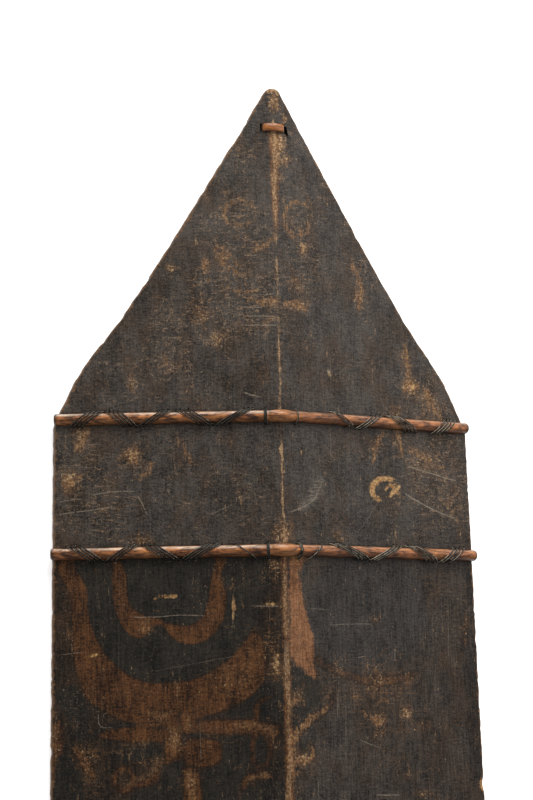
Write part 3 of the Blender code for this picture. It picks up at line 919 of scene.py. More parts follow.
# %% Worn places
WORN = {
    "tip": [(262, 283, 85, 95, 1.0), (268, 281, 90, 115, 1.0), (240, 247, 117, 129, 0.7),
            (232, 241, 128, 142, 0.75), (228, 235, 139, 149, 0.6), (281, 289, 113, 125, 0.9),
            (288, 299, 127, 147, 0.5), (252, 262, 118, 128, 0.5), (262, 276, 96, 112, 0.45)],
    "head": [(270, 286, 131, 154, 1.25), (272, 286, 150, 170, 0.85), (270, 284, 168, 183, 0.9),
             (279, 293, 150, 167, 0.85), (262, 272, 170, 182, 0.6), (284, 299, 199, 236, 0.55),
             (296, 309, 226, 238, 0.7), (298, 308, 240, 256, 1.0), (218, 264, 231, 242, 0.55),
             (235, 251, 207, 218, 0.5), (214, 237, 248, 268, 0.75), (200, 212, 254, 272, 0.75),
             (236, 252, 268, 290, 0.6), (248, 276, 234, 257, 0.6), (285, 307, 272, 294, 0.7),
             (285, 309, 299, 313, 0.9), (256, 279, 296, 308, 0.85), (347, 365, 260, 276, 0.6),
             (352, 365, 280, 314, 0.75), (339, 353, 218, 232, 0.5), (318, 333, 190, 216, 0.5),
             (196, 211, 184, 208, 0.6), (162, 179, 262, 274, 0.8), (220, 231, 198, 228, 0.5),
             (298, 322, 194, 208, 0.45), (244, 258, 262, 282, 0.5), (186, 198, 286, 330, 0.5),
             (255, 275, 312, 330, 0.55)],
    "shoulder": [(205, 228, 329, 348, 0.85), (196, 210, 304, 330, 0.75), (155, 180, 355, 376, 0.65),
                 (124, 140, 371, 395, 0.8), (256, 273, 362, 388, 0.5), (398, 414, 340, 376, 0.75),
                 (400, 420, 376, 396, 1.0), (416, 440, 380, 424, 0.75), (386, 406, 402, 420, 0.7),
                 (98, 108, 364, 380, 0.5), (174, 184, 316, 334, 0.5), (240, 264, 311, 338, 0.5),
                 (148, 164, 298, 332, 0.45), (116, 129, 314, 370, 0.45), (194, 210, 398, 415, 0.5),
                 (425, 452, 394, 420, 0.6)],
    "between bands": [(72, 90, 426, 450, 0.95), (124, 142, 446, 466, 1.0), (134, 153, 457, 478, 0.6),
                      (172, 193, 432, 463, 0.55), (212, 233, 427, 448, 0.6), (254, 275, 437, 459, 0.5),
                      (57, 80, 467, 494, 0.9), (94, 113, 486, 528, 0.6), (127, 153, 532, 550, 0.75),
                      (274, 295, 516, 550, 0.9), (334, 348, 529, 545, 0.75), (366, 386, 430, 462, 0.65),
                      (392, 406, 428, 450, 0.8), (347, 365, 437, 463, 0.5), (404, 446, 440, 480, 0.7),
                      (440, 468, 470, 535, 0.6), (432, 448, 426, 444, 0.6), (236, 258, 484, 502, 0.4),
                      (175, 205, 484, 525, 0.4)],
    "left face": [(54, 78, 556, 660, 0.5), (270, 283, 650, 680, 0.9), (90, 98, 653, 658, 0.8),
                  (250, 284, 602, 610, 0.55), (52, 62, 716, 765, 0.7), (70, 104, 738, 764, 0.55),
                  (122, 163, 736, 748, 0.6), (166, 184, 724, 756, 0.75), (184, 198, 765, 795, 0.75),
                  (150, 166, 750, 776, 0.6), (76, 100, 752, 785, 0.6), (58, 76, 620, 652, 0.6),
                  (214, 234, 560, 596, 0.4), (264, 283, 553, 582, 0.75), (268, 284, 600, 660, 0.35),
                  (264, 280, 718, 748, 0.55), (136, 156, 617, 637, 0.75), (190, 256, 658, 708, 0.52),
                  (238, 262, 775, 792, 0.5), (95, 150, 672, 712, 0.45), (146, 174, 712, 728, 0.6),
                  (54, 66, 553, 640, 0.45), (84, 104, 556, 590, 0.4), (206, 250, 716, 738, 0.45)],
    "right face": [(287, 310, 550, 564, 0.8), (326, 352, 660, 682, 0.5), (360, 395, 664, 700, 0.65),
                   (397, 421, 668, 690, 0.55), (350, 370, 684, 704, 0.55), (372, 388, 712, 728, 0.85),
                   (398, 414, 705, 722, 0.9), (395, 452, 718, 734, 0.55), (368, 388, 730, 742, 0.65),
                   (388, 422, 748, 770, 0.45), (401, 417, 768, 780, 0.6), (412, 436, 789, 799, 0.75),
                   (369, 381, 613, 625, 0.7), (320, 334, 676, 708, 0.45), (460, 472, 610, 650, 0.6),
                   (288, 308, 686, 706, 0.75), (479, 485, 777, 791, 1.0), (292, 312, 750, 768, 0.85),
                   (440, 452, 600, 640, 0.4), (288, 300, 700, 745, 0.5)],
}
print("worn places", sum(len(boxes) for boxes in WORN.values()))

# %% Strokes of bare wood, faint wear and smears, and scuffed areas
BARE_STROKES = [([(396, 481), (386, 478), (377, 481), (372, 488), (374, 496), (381, 501)],
                 [1.0, 2.4, 3.2, 3.6, 3.2, 1.4]), ([(385, 490), (390, 485), (395, 489), (402, 498)],
                                                   [1.2, 2.0, 2.4, 1.0]),
                ([(400, 486), (394, 492), (388, 497)], [1.2, 2.0, 1.4]),
                ([(154, 599), (160, 596), (167, 597), (176, 596)], [1.0, 1.7, 0.8, 1.7]),
                ([(91, 656), (96, 655)], [1.6, 1.2]),
                ([(277, 654), (276, 664), (278, 673)], [1.4, 2.0, 1.2]),
                ([(482, 779), (483, 789)], [1.8, 2.2]),
                ([(234, 594), (234, 606), (233, 618)], [0.7, 1.0, 0.6]),
                ([(268, 604), (281, 606)], [1.0, 1.2]), ([(328, 371), (330, 375)], [1.4, 1.4]),
                ([(431, 431), (433, 431)], [1.0, 1.0]), ([(300, 452), (302, 454)], [0.9, 0.9]),
                ([(418, 385), (412, 387)], [1.6, 2.4])]
FAINT_STROKES = [(round_pixels((240, 213), 16, 13, 20, 330), [1.2, 1.8, 1.4, 1.8, 1.0]),
                 ([(214, 247), (220, 260), (234, 272), (240, 274)], [1.4, 2.2, 1.8, 1.0]),
                 ([(217, 246), (229, 252), (236, 264)], [1.6, 1.8, 1.0]),
                 ([(246, 256), (262, 246), (274, 238)], [1.0, 1.8, 2.4]),
                 (round_pixels((297, 219), 13, 17, 60, 340), [1.6, 2.0, 1.4, 1.8, 1.2]),
                 ([(222, 284), (240, 292), (258, 290)], [1.0, 1.6, 1.2]),
                 ([(203, 256), (206, 268), (208, 281)], [1.2, 2.4, 1.6]),
                 ([(306, 309), (294, 303), (286, 304)], [1.6, 3.0, 1.8]),
                 ([(244, 296), (262, 303), (277, 300)], [1.4, 2.2, 2.6]),
                 ([(352, 264), (360, 284), (359, 310)], [1.6, 2.6, 1.6]),
                 ([(405, 346), (408, 366), (406, 390)], [2.0, 2.8, 2.4]),
                 ([(424, 388), (432, 402), (440, 420)], [2.2, 3.6, 2.4]),
                 ([(374, 462), (376, 446), (384, 432)], [1.4, 2.6, 2.2]),
                 ([(408, 448), (424, 458), (446, 470)], [1.8, 2.6, 1.6]),
                 ([(398, 432), (400, 446), (402, 458)], [1.6, 2.4, 1.4]),
                 ([(88, 428), (83, 440), (78, 450)], [2.4, 3.4, 1.8]),
                 ([(60, 484), (72, 482), (80, 476)], [1.6, 3.0, 1.6]),
                 ([(126, 452), (133, 456), (138, 463)], [2.0, 2.8, 1.6]),
                 ([(176, 436), (184, 448), (190, 462)], [1.4, 2.4, 1.6]),
                 ([(124, 790), (133, 781), (146, 777), (157, 768), (158, 757)], [1.4, 2.4, 2.8, 2.4, 1.4]),
                 ([(140, 478), (148, 472), (151, 464)], [1.4, 1.8, 1.2]),
                 ([(292, 735), (292, 766)], [2.6, 3.6]),
                 ([(296, 738), (300, 730), (309, 721), (320, 713), (330, 706)], [3.0, 3.2, 3.0, 2.6, 1.6]),
                 ([(308, 746), (312, 749), (312, 757), (305, 761), (296, 761)], [1.4, 2.6, 2.4, 2.8, 2.0]),
                 ([(290, 706), (295, 701), (303, 703)], [2.0, 2.4, 1.4]),
                 ([(292, 774), (300, 773)], [1.8, 1.8]),
                 ([(360, 712), (372, 718), (382, 724)], [1.6, 2.6, 2.2]),
                 ([(236, 725), (262, 727), (277, 732)], [1.6, 2.8, 2.0]),
                 ([(173, 728), (174, 745), (171, 758)], [2.2, 3.2, 2.0]),
                 ([(246, 782), (256, 776), (268, 776)], [1.8, 2.4, 2.2]),
                 ([(189, 770), (193, 785), (192, 800)], [3.0, 4.2, 4.2]),
                 ([(184, 714), (189, 722), (187, 731)], [1.6, 2.8, 1.6]),
                 ([(146, 712), (160, 716), (172, 712)], [1.6, 2.8, 1.6]),
                 ([(120, 770), (118, 784)], [2.0, 1.6])]
SMEARS = [([(300, 508), (308, 502), (315, 491), (320, 481)], [2.0, 4.0, 6.5, 5.0])]
SCUFFED = [(200, 280, 195, 262, 0.8), (190, 282, 262, 350, 1.0), (284, 325, 180, 330, 0.6),
           (140, 205, 280, 400, 0.6), (395, 470, 380, 545, 0.7), (55, 130, 425, 548, 0.6),
           (300, 440, 650, 745, 0.35), (55, 170, 735, 800, 0.28), (160, 280, 720, 800, 0.16),
           (230, 290, 560, 700, 0.35), (225, 262, 130, 200, 0.6), (290, 340, 140, 200, 0.5),
           (340, 400, 220, 380, 0.4), (150, 280, 420, 548, 0.35), (280, 470, 545, 800, 0.12),
           (60, 280, 340, 412, 0.4)]
print("strokes", len(BARE_STROKES + FAINT_STROKES + SMEARS), "scuffed areas", len(SCUFFED))

# %% Wear kept in the mesh
LEAST_HALF, FALL_OFF = 0.002, 0.55


def strongest_oval(boxes, x, y):
    """The strongest of soft ovals at each point."""
    found = np.zeros(len(x))
    for left, right, top, bottom, strength in boxes:
        centre = on_front([((left + right) / 2, (top + bottom) / 2)])[0]
        ends = on_front([(left, (top + bottom) / 2), (right, (top + bottom) / 2)])
        half_x = max(LEAST_HALF, abs(ends[1, 0] - ends[0, 0]) / 2)
        half_y = max(LEAST_HALF, (bottom - top) / 2 * PIXEL)
        square = ((x - centre[0]) / half_x) ** 2 + ((y - centre[1]) / half_y) ** 2
        found = np.maximum(found, strength * np.exp(-FALL_OFF * square))
    return found


UPPER_FROM, TURN_SHIFT, LOWER_SHARE = -0.045, 0.02, 0.8
all_worn = [box for boxes in WORN.values() for box in boxes]
turned = (-across, -along - TURN_SHIFT)
upper = along > UPPER_FROM
worn = np.where(upper, strongest_oval(all_worn, across, along), LOWER_SHARE * strongest_oval(all_worn,
                                                                                             *turned))
scuffed = np.where(upper, strongest_oval(SCUFFED, across, along), strongest_oval(SCUFFED, *turned))
keep("worn", np.where(on_the_front, worn, 0.0))
keep("scuffed", np.where(on_the_front, scuffed, 0.0))
for name, strokes in (("bare_depth", BARE_STROKES), ("smear_depth", SMEARS),
                      ("faint_depth", FAINT_STROKES)):
    keep(name, np.where(on_the_front, deepest([Stroke(*given) for given in strokes], across, along), -FAR))
print("points that are mostly worn", int((worn > 0.5).sum()))

# %% Broad differences of tone
# In the next list, the first box makes the head paler and greyer: partly dust, partly painted sheen.
PALER = [(165, 275, 140, 330, 0.75), (90, 265, 330, 410, 0.55), (225, 330, 170, 250, 0.3),
         (150, 400, 260, 400, 0.35), (300, 330, 470, 520, 0.5), (285, 420, 560, 680, 0.25),
         (60, 265, 395, 412, 0.2), (95, 200, 480, 540, 0.2)]
# In the next list, the box along the right rim (466 to 480 across) is painted shade on the rounded right
# edge.
DARKER = [(57, 120, 700, 800, 0.6), (255, 283, 600, 800, 0.6), (300, 420, 430, 548, 0.25),
          (70, 250, 430, 548, 0.12), (466, 480, 560, 800, 0.9), (110, 135, 325, 372, 0.4),
          (185, 275, 340, 400, 0.3), (150, 280, 250, 300, 0.25), (395, 470, 490, 548, 0.5),
          (60, 130, 500, 548, 0.35), (410, 440, 690, 790, 0.3), (380, 420, 730, 800, 0.3)]
WARMER = [(55, 88, 556, 700, 0.9), (230, 290, 500, 550, 0.5), (60, 120, 425, 500, 0.3),
          (240, 276, 560, 700, 0.35), (440, 475, 560, 700, 0.45), (430, 465, 430, 520, 0.4),
          (110, 200, 250, 380, 0.3), (300, 420, 640, 700, 0.4), (400, 470, 680, 780, 0.3),
          (330, 380, 560, 600, 0.25), (300, 350, 370, 400, 0.3)]
LENS_DULL = [(284, 316, 540, 590, 1.0), (296, 330, 650, 700, 1.0), (300, 312, 590, 650, 0.4)]
for name, boxes in (("paler", PALER), ("darker", DARKER), ("warmer", WARMER)):
    wide = strongest_oval(boxes, across, along)
    keep(name, np.where(along > UPPER_FROM, wide, strongest_oval(boxes, across, np.abs(along))))
keep("rim_distance", rim_distance)
keep("lens_dull", strongest_oval(LENS_DULL, across, along))
print("areas of tone", len(PALER + DARKER + WARMER + LENS_DULL))

# %% Wear of the ridge, and places near the rim, the canes and the grip
RIDGE_WEAR = [(0.70, 0.3, 0.0026), (0.667, 0.3, 0.0026), (0.66, 1.0, 0.0052), (0.64, 0.85, 0.0046),
              (0.60, 1.0, 0.0046), (0.575, 0.8, 0.0032), (0.55, 0.5, 0.0026), (0.50, 0.58, 0.0026),
              (0.45, 0.64, 0.0026), (0.40, 0.55, 0.0024), (0.38, 0.62, 0.0028), (0.34, 0.64, 0.0030),
              (0.30, 0.62, 0.0030), (0.27, 0.9, 0.0036), (0.25, 0.75, 0.0036), (0.15, 0.8, 0.0042),
              (0.05, 0.85, 0.0046), (-0.04, 0.75, 0.0042), (-0.20, 0.6, 0.0034), (-0.30, 0.5, 0.0028),
              (-0.50, 0.7, 0.0028), (-0.62, 0.9, 0.0034), (-0.70, 0.9, 0.0026)]
ridge_steps = np.array(sorted(RIDGE_WEAR))
keep("ridge_wear", np.where(on_the_front, np.interp(along, ridge_steps[:, 0], ridge_steps[:, 1]), 0))
keep("ridge_share", np.abs(across) / np.interp(along, ridge_steps[:, 0], ridge_steps[:, 2]))
band_places = [s * (half_length - f) for f in BAND_FROM_TIP.values() for s in (1, -1)]
keep("band_distance", np.min([np.abs(along - b) for b in band_places], 0))
keep("front", on_the_front)
grip_point = ~on_the_front & (height < back_height(across) - 0.002)
grip_point &= (np.abs(across) < GRIP_HALF_WIDE + 0.001) & (np.abs(along) < foot_high + 0.002)
keep("grip", grip_point)
print("points of the grip", int(grip_point.sum()))

# %% Scratches
SCRATCHES = [
    [([(131, 617), (155, 617), (180, 615), (207, 616)], 0.9, 0.8),
     ([(92, 495), (110, 492), (137, 491)], 1.3, 0.7),
     ([(290, 512), (303, 507), (315, 498), (322, 482)], 1.6, 0.7), ([(242, 307), (262, 307)], 1.0, 0.9),
     ([(308, 608), (328, 610)], 0.9, 0.4), ([(407, 466), (430, 473), (456, 481)], 1.5, 0.9),
     ([(376, 795), (400, 795)], 1.2, 0.8), ([(244, 255), (258, 255)], 1.0, 1.0),
     ([(233, 594), (233, 628)], 0.8, 0.5), ([(199, 340), (212, 340)], 0.9, 0.8),
     ([(98, 714), (99, 724), (104, 728), (111, 727)], 0.9, 0.7),
     ([(243, 392), (252, 395), (260, 397)], 1.4, 0.9), ([(395, 646), (395, 660)], 0.9, 0.7),
     ([(356, 658), (366, 656)], 1.0, 0.8), ([(230, 200), (243, 197)], 0.7, 0.5),
     ([(120, 560), (118, 690)], 0.6, 0.12), ([(338, 690), (338, 720)], 0.8, 0.6),
     ([(328, 369), (330, 376)], 3.4, 1.0)],
    [([(57, 515), (85, 511), (112, 507)], 1.2, 0.7), ([(330, 625), (350, 624), (372, 624)], 0.9, 0.5),
     ([(246, 316), (278, 316)], 1.0, 0.9), ([(404, 493), (430, 508), (456, 519)], 1.5, 1.0),
     ([(137, 495), (142, 503), (147, 515)], 1.2, 0.8), ([(251, 606), (281, 606)], 1.4, 0.6),
     ([(250, 296), (278, 293)], 1.0, 0.5), ([(187, 280), (208, 284)], 0.8, 0.5),
     ([(160, 560), (161, 556)], 0.8, 0.5), ([(60, 502), (70, 500), (84, 499)], 1.2, 0.6),
     ([(209, 515), (232, 505)], 1.2, 0.5), ([(330, 430), (331, 460)], 0.8, 0.5),
     ([(318, 780), (319, 800)], 0.8, 0.5), ([(240, 655), (150, 672)], 0.8, 0.25),
     ([(360, 740), (380, 748)], 0.9, 0.6), ([(200, 720), (201, 760)], 0.8, 0.4)],
    [([(240, 325), (279, 325)], 1.1, 0.9), ([(254, 286), (258, 272)], 0.8, 0.5),
     ([(380, 500), (360, 530)], 0.8, 0.3), ([(285, 640), (286, 690)], 0.9, 0.8),
     ([(124, 320), (124, 345), (125, 366)], 1.0, -0.9), ([(330, 355), (331, 385)], 0.8, 0.5),
     ([(85, 445), (100, 444)], 1.0, 0.7), ([(448, 600), (449, 660)], 0.8, 0.35),
     ([(346, 700), (346, 760)], 0.8, 0.4), ([(150, 250), (158, 262)], 0.8, 0.3),
     ([(300, 620), (299, 660)], 0.7, 0.4), ([(180, 380), (196, 378)], 0.8, 0.5),
     ([(225, 470), (262, 478)], 0.8, 0.3), ([(60, 655), (84, 652)], 0.8, 0.6)],
]
NEAR_LINE, LINE_GONE, SCRATCH_REACH = 0.004, 0.008, 0.012
for number, layer in enumerate(SCRATCHES):
    offset, strength = np.full(len(across), FAR), np.zeros(len(across))
    width = np.full(len(across), 0.001)
    for (x, y), half in (((across, along), along > UPPER_FROM), (turned, along < UPPER_FROM)):
        allowed = on_the_front & half
        for pixels, wide, strong in layer:
            line = curve_through(on_front(pixels), False) if len(pixels) > 2 else on_front(pixels)
            close = allowed & box_round(line, x, y, SCRATCH_REACH)
            if not close.any():
                continue
            away, side, passed = nearest_on_line(x[close], y[close], line, False)
            ends = np.clip(np.minimum(passed, 1 - passed) / 0.10, 0, 1)
            here = np.clip((LINE_GONE - away) / (LINE_GONE - NEAR_LINE), 0, 1) * ends
            nearer = away < np.abs(offset[close])
            offset[close] = np.where(nearer, away * side, offset[close])
            strength[close] = np.where(nearer, here * strong, strength[close])
            width[close] = np.where(nearer, wide * PIXEL / 2, width[close])
    for title, values in (("offset", offset), ("strength", strength), ("width", width)):
        keep(f"scratch_{number}_{title}", values)
print("scratches", sum(len(layer) for layer in SCRATCHES))

# %% [markdown]
# ## Shared surface effects
# Wood, cane and strands all show grain, specks, worn places and rubbed edges, at different scales.
# Each effect is one shader group with named sockets, built once and placed in every material with
# its own values. A group gives out only masks. The shader itself stays in the material. Wires
# between nodes can be added and multiplied like numbers, which keeps each recipe on a few lines.


# %% Helpers for nodes
class Wire:
    """A value that runs from node to node, and can be added to or multiplied like a number."""

    def __init__(self, socket):
        self.socket = socket

    def __add__(self, other):
        return calc("ADD", self, other)

    def __sub__(self, other):
        return calc("SUBTRACT", self, other)

    def __rsub__(self, other):
        return calc("SUBTRACT", other, self)

    def __mul__(self, other):
        return calc("MULTIPLY", self, other)

    __radd__, __rmul__ = __add__, __mul__


def place_node(kind, inputs, output=0, **settings):
    """Adds a node to the current tree; each input is a plain value or the wire that feeds it."""
    made = tree.nodes.new(kind)
    for key, value in settings.items():
        setattr(made, key, value)
    for key, value in inputs.items():
        if isinstance(value, Wire):
            tree.links.new(value.socket, made.inputs[key])
        else:
            made.inputs[key].default_value = value
    return Wire(made.outputs[output])


def calc(operation, *values):
    return place_node("ShaderNodeMath", dict(enumerate(values)), operation=operation)


def limited(wire):
    """Keeps the sum that a wire carries between 0 and 1."""
    wire.socket.node.use_clamp = True
    return wire


def ramp(value, low, high, start=0.0, end=1.0):
    """A smooth step of value from low to high."""
    inputs = {"Value": value, "From Min": low, "From Max": high, "To Min": start, "To Max": end}
    return place_node("ShaderNodeMapRange", inputs, interpolation_type="SMOOTHSTEP")


def speckle(vector, scale, detail=2.0, roughness=0.5):
    inputs = {"Vector": vector, "Scale": scale, "Detail": detail, "Roughness": roughness}
    return place_node("ShaderNodeTexNoise", inputs, "Fac")


def blend(share, first, second):
    """Mixes two colours; either may be a plain (r, g, b)."""
    colours = [(*paint, 1.0) if isinstance(paint, tuple) else paint for paint in (first, second)]
    inputs = {0: share, 6: colours[0], 7: colours[1]}
    return place_node("ShaderNodeMix", inputs, 2, data_type="RGBA", clamp_factor=True)


def kept(name):
    """Reads a number kept in the mesh."""
    return place_node("ShaderNodeAttribute", {}, "Fac", attribute_name=name)


def stretched(vector, *scales):
    return place_node("ShaderNodeVectorMath", {0: vector, 1: scales}, operation="MULTIPLY")


def new_finish(name):
    """Starts a material; gives it, its shader, and the place of each point."""
    global tree
    made = bpy.data.materials.new(name)
    made.use_nodes = True
    tree = made.node_tree
    return made, tree.nodes["Principled BSDF"], place_node("ShaderNodeTexCoord", {}, "Object")


def dress(shader, colour, roughness, specular, relief, strength, distance):
    """Feeds a shader its colour, roughness and relief. The specular level is a plain number on it."""
    inputs = {"Strength": strength, "Distance": distance, "Height": relief}
    normal = place_node("ShaderNodeBump", inputs, "Normal")
    for title, wire in (("Base Color", colour), ("Roughness", roughness), ("Normal", normal)):
        tree.links.new(wire.socket, shader.inputs[title])
    shader.inputs["Specular IOR Level"].default_value = specular
    print(f"finish uses {len(tree.nodes)} nodes")


def shader_group(name, **numbers):
    """Makes a shader group with named sockets from a function of wires. Calling it later places it."""
    def build_group(build):
        global tree
        group = tree = bpy.data.node_groups.new(name, "ShaderNodeTree")
        group.interface.new_socket("Place", in_out="INPUT", socket_type="NodeSocketVector")
        for title, value in numbers.items():
            title = title.replace("_", " ")
            socket = group.interface.new_socket(title, in_out="INPUT", socket_type="NodeSocketFloat")
            socket.default_value = value
        group.interface.new_socket("Mask", in_out="OUTPUT", socket_type="NodeSocketFloat")
        entry = group.nodes.new("NodeGroupInput")
        mask = build(*[Wire(socket) for socket in entry.outputs[:len(numbers) + 1]])
        group.links.new(mask.socket, group.nodes.new("NodeGroupOutput").inputs[0])

        def placed(*values):
            return place_node("ShaderNodeGroup", dict(enumerate(values)), node_tree=group)

        return placed

    return build_group


print("node helpers ready")


# %% Grain: streaks that run one way
@shader_group("Streaked grain", Across_X=500.0, Across_Y=30.0, Across_Z=500.0, Contrast=0.25)
def streaks(place, x, y, z, contrast):
    scales = place_node("ShaderNodeCombineXYZ", {0: x, 1: y, 2: z})
    scaled = place_node("ShaderNodeVectorMath", {0: place, 1: scales}, operation="MULTIPLY")
    return ramp(speckle(scaled, 1.0, 4.0, 0.62), 0.5 - contrast, 0.5 + contrast)


# %% Specks: small scattered marks
@shader_group("Scattered specks", Per_Metre=500.0, Share=0.1, Patchiness=20.0)
def specks(place, per_metre, share, patchiness):
    level = speckle(place, per_metre, 1.5, 0.6) + (speckle(place, patchiness, 2.0, 0.5) - 0.5) * 0.35
    edge = 0.76 - share * 0.6
    return ramp(level, edge, edge + 0.06)


# %% Worn places and painted edges, both broken up by noise
@shader_group("Worn patch", Amount=0.0, Ragged=1.0, Softness=0.06)
def patches(place, amount, ragged, softness):
    coarse = speckle(stretched(place, 1.0, 0.45, 1.0), 190.0, 6.0, 0.68) - 0.5
    tiny = speckle(stretched(place, 1.0, 0.55, 1.0), 900.0, 2.0, 0.6) - 0.5
    return ramp(amount + (coarse * 2.4 + tiny * 1.1) * ragged, 0.5 - softness, 0.5 + softness)


@shader_group("Painted edge", Depth=0.0, Wander=0.002, Softness=0.001)
def painted(place, depth, wander, softness):
    drift = speckle(place, 160.0, 5.0, 0.72) - 0.5
    streaky = speckle(stretched(place, 1.0, 0.07, 1.0), 420.0, 3.0, 0.6) - 0.5
    return ramp(depth + (drift + streaky) * wander, softness * -1.0, softness)


# %% Scratches, rubbed edges, dust and scuffs
@shader_group("Scratch", Offset=1.0, Width=0.001, Strength=0.0)
def scratch(place, offset, width, strength):
    waver = speckle(place, 110.0, 3.0, 0.6) - 0.5
    offset = calc("ABSOLUTE", offset + waver * 0.0012)
    line = ramp(calc("DIVIDE", offset, width), 0.55, 1.35, 1.0, 0.0)
    gaps = ramp(speckle(place, 620.0, 3.0, 0.7), 0.34, 0.56)
    return line * gaps * strength


@shader_group("Rubbed edge", Distance=1.0, Reach=0.004, Per_Metre=180.0)
def rubbed_edge(place, distance, reach, per_metre):
    near = 1.0 - calc("DIVIDE", distance, reach)
    return ramp(near + (speckle(place, per_metre, 5.0, 0.65) - 0.5) * 3.2, 0.25, 0.6)


@shader_group("Dust", Amount=0.3, Per_Metre=40.0)
def dust(place, amount, per_metre):
    cloud = ramp(speckle(place, per_metre, 5.0, 0.7), 0.35, 0.7)
    return cloud * ramp(speckle(place, 1400.0, 1.0, 0.5), 0.35, 0.65, 0.5, 1.0) * amount


@shader_group("Fibrous scuffs", Amount=0.5, Per_Metre=130.0, Thin=0.014)
def scuffs(place, amount, per_metre, thin):
    lines = calc("ABSOLUTE", speckle(place, per_metre, 4.0, 0.62) - 0.5)
    lines = ramp(lines, thin * 0.25, thin, 1.0, 0.0)
    pieces = ramp(speckle(place, 330.0, 3.0, 0.65), 0.48, 0.56)
    clouded = amount + (speckle(place, 48.0, 3.0, 0.6) - 0.5) * 2.2
    return lines * pieces * ramp(clouded, 0.28, 0.75)


print("shader groups", len(bpy.data.node_groups))

# %% [markdown]
# ## The painted wood
# From the bottom up: softwood, red-brown paint, black-brown paint, and a thin grey bloom over the
# old black. The colours are set from the inside out in that order, and wear then takes them off
# again: to the brown where it is light, to bare wood where it is deep.

# %% Painted wood
PAINT_BLACK, PAINT_GREY = (0.0080, 0.0071, 0.0063), (0.104, 0.088, 0.075)
UMBER_DEEP, UMBER_LIGHT = (0.0110, 0.0062, 0.0035), (0.088, 0.050, 0.027)
BROWN_DEEP, BROWN_LIGHT = (0.013, 0.0048, 0.0018), (0.150, 0.060, 0.0195)
OLD_BLACK, OLD_BLACK_GREY = (0.0042, 0.0037, 0.0030), (0.035, 0.0300, 0.0230)
GROUND_DEEP, GROUND_LIGHT = (0.0045, 0.0030, 0.0020), (0.050, 0.030, 0.018)
LENS_DEEP, LENS_LIGHT = (0.090, 0.034, 0.012), (0.365, 0.172, 0.082)
DISC_DEEP, DISC_LIGHT = (0.0060, 0.0058, 0.0055), (0.062, 0.056, 0.051)
OUTLINE_HALF = 0.0010


def paint_mask(name, wander, softness):
    """Where a painted shape shows, from the distance to its edge that the mesh keeps."""
    return painted(spot, kept(name + "_depth"), wander, softness)


painted_wood, wood_shader, spot = new_finish("painted wood")
in_face, left_half, worn_place = kept("in_face"), kept("left_half"), kept("worn")
grain = streaks(spot, 620.0, 46.0, 420.0, 0.16)
weave = streaks(spot, 170.0, 640.0, 170.0, 0.16)
broad = streaks(spot, 62.0, 30.0, 62.0, 0.16)
mottle = ramp(speckle(spot, 640.0, 3.0, 0.80), 0.36, 0.64)
texture = (grain - 0.5) * (0.24 + in_face * 0.18)
for layer, share in ((weave, 0.34), (broad, 0.28), (mottle, 0.54)):
    texture += (layer - 0.5) * share
texture = limited(texture + 0.42)
tone = limited(texture + kept("paler") * 0.16 - kept("darker") * 0.22)

umber = ramp(speckle(stretched(spot, 1.0, 0.6, 1.0), 46.0, 4.0, 0.62), 0.44, 0.62)
umber = limited(umber * 0.48 + kept("warmer") * 0.7)
colour = blend(umber, blend(tone, PAINT_BLACK, PAINT_GREY), blend(tone, UMBER_DEEP, UMBER_LIGHT))
# On the right half the dark ground and the brown paint are kept weaker, so that half reads greyer: partly the
# paint itself, partly painted sheen.
colour = blend(in_face * (0.36 + left_half * 0.56), colour, blend(tone, GROUND_DEEP, GROUND_LIGHT))

brown_mask = paint_mask("brown", 0.0060, 0.0018)
cloudy = (speckle(stretched(spot, 1.0, 0.6, 1.0), 70.0, 4.0, 0.6) - 0.5) * 1.05
brown_paint = blend(limited(tone + cloudy), BROWN_DEEP, BROWN_LIGHT)
colour = blend(brown_mask * (0.38 + left_half * 0.54), colour, brown_paint)
outline = painted(spot, OUTLINE_HALF - calc("ABSOLUTE", kept("brown_depth")), 0.0040, 0.0008)
colour = blend(outline * 0.55, colour, OLD_BLACK)
black_mask = paint_mask("black", 0.0054, 0.0015)
colour = blend(black_mask * 0.92, colour, blend(tone, OLD_BLACK, OLD_BLACK_GREY))
lens_mask = paint_mask("lens", 0.0090, 0.0018)
lens_tone = limited((tone - 0.4) * 0.8 + 0.52 - kept("lens_dull") * 0.34)
colour = blend(lens_mask, colour, blend(lens_tone, LENS_DEEP, LENS_LIGHT))
# The big disc on the right is old black paint in a greyer tone: partly its own paint, partly painted sheen.
disc_mask = paint_mask("disc", 0.0120, 0.0040) * (1.0 - lens_mask)
colour = blend(disc_mask * 0.75, colour, blend(tone, DISC_DEEP, DISC_LIGHT))
print("paint uses", len(tree.nodes), "nodes")

# %% Wear on the painted wood
WORN_BROWN, WORN_TAN, BARE_WOOD = (0.115, 0.052, 0.021), (0.310, 0.158, 0.064), (0.560, 0.370, 0.200)
FADED_BROWN, FAINT_TAN = (0.090, 0.038, 0.014), (0.390, 0.215, 0.095)
BARE_DEEP, BARE_LIGHT = (0.270, 0.125, 0.038), (0.600, 0.380, 0.170)
RIDGE_DEEP, RIDGE_LIGHT = (0.060, 0.023, 0.008), (0.340, 0.142, 0.048)
PALE_SCRATCH, SMEAR, BLOOM = (0.300, 0.245, 0.180), (0.19, 0.165, 0.135), (0.17, 0.15, 0.135)
CRACK, GRIME_AND_SHADE, DARK_SPECK = (0.0060, 0.0048, 0.0036), (0.014, 0.010, 0.007), (0.0055, 0.0045, 0.0035)

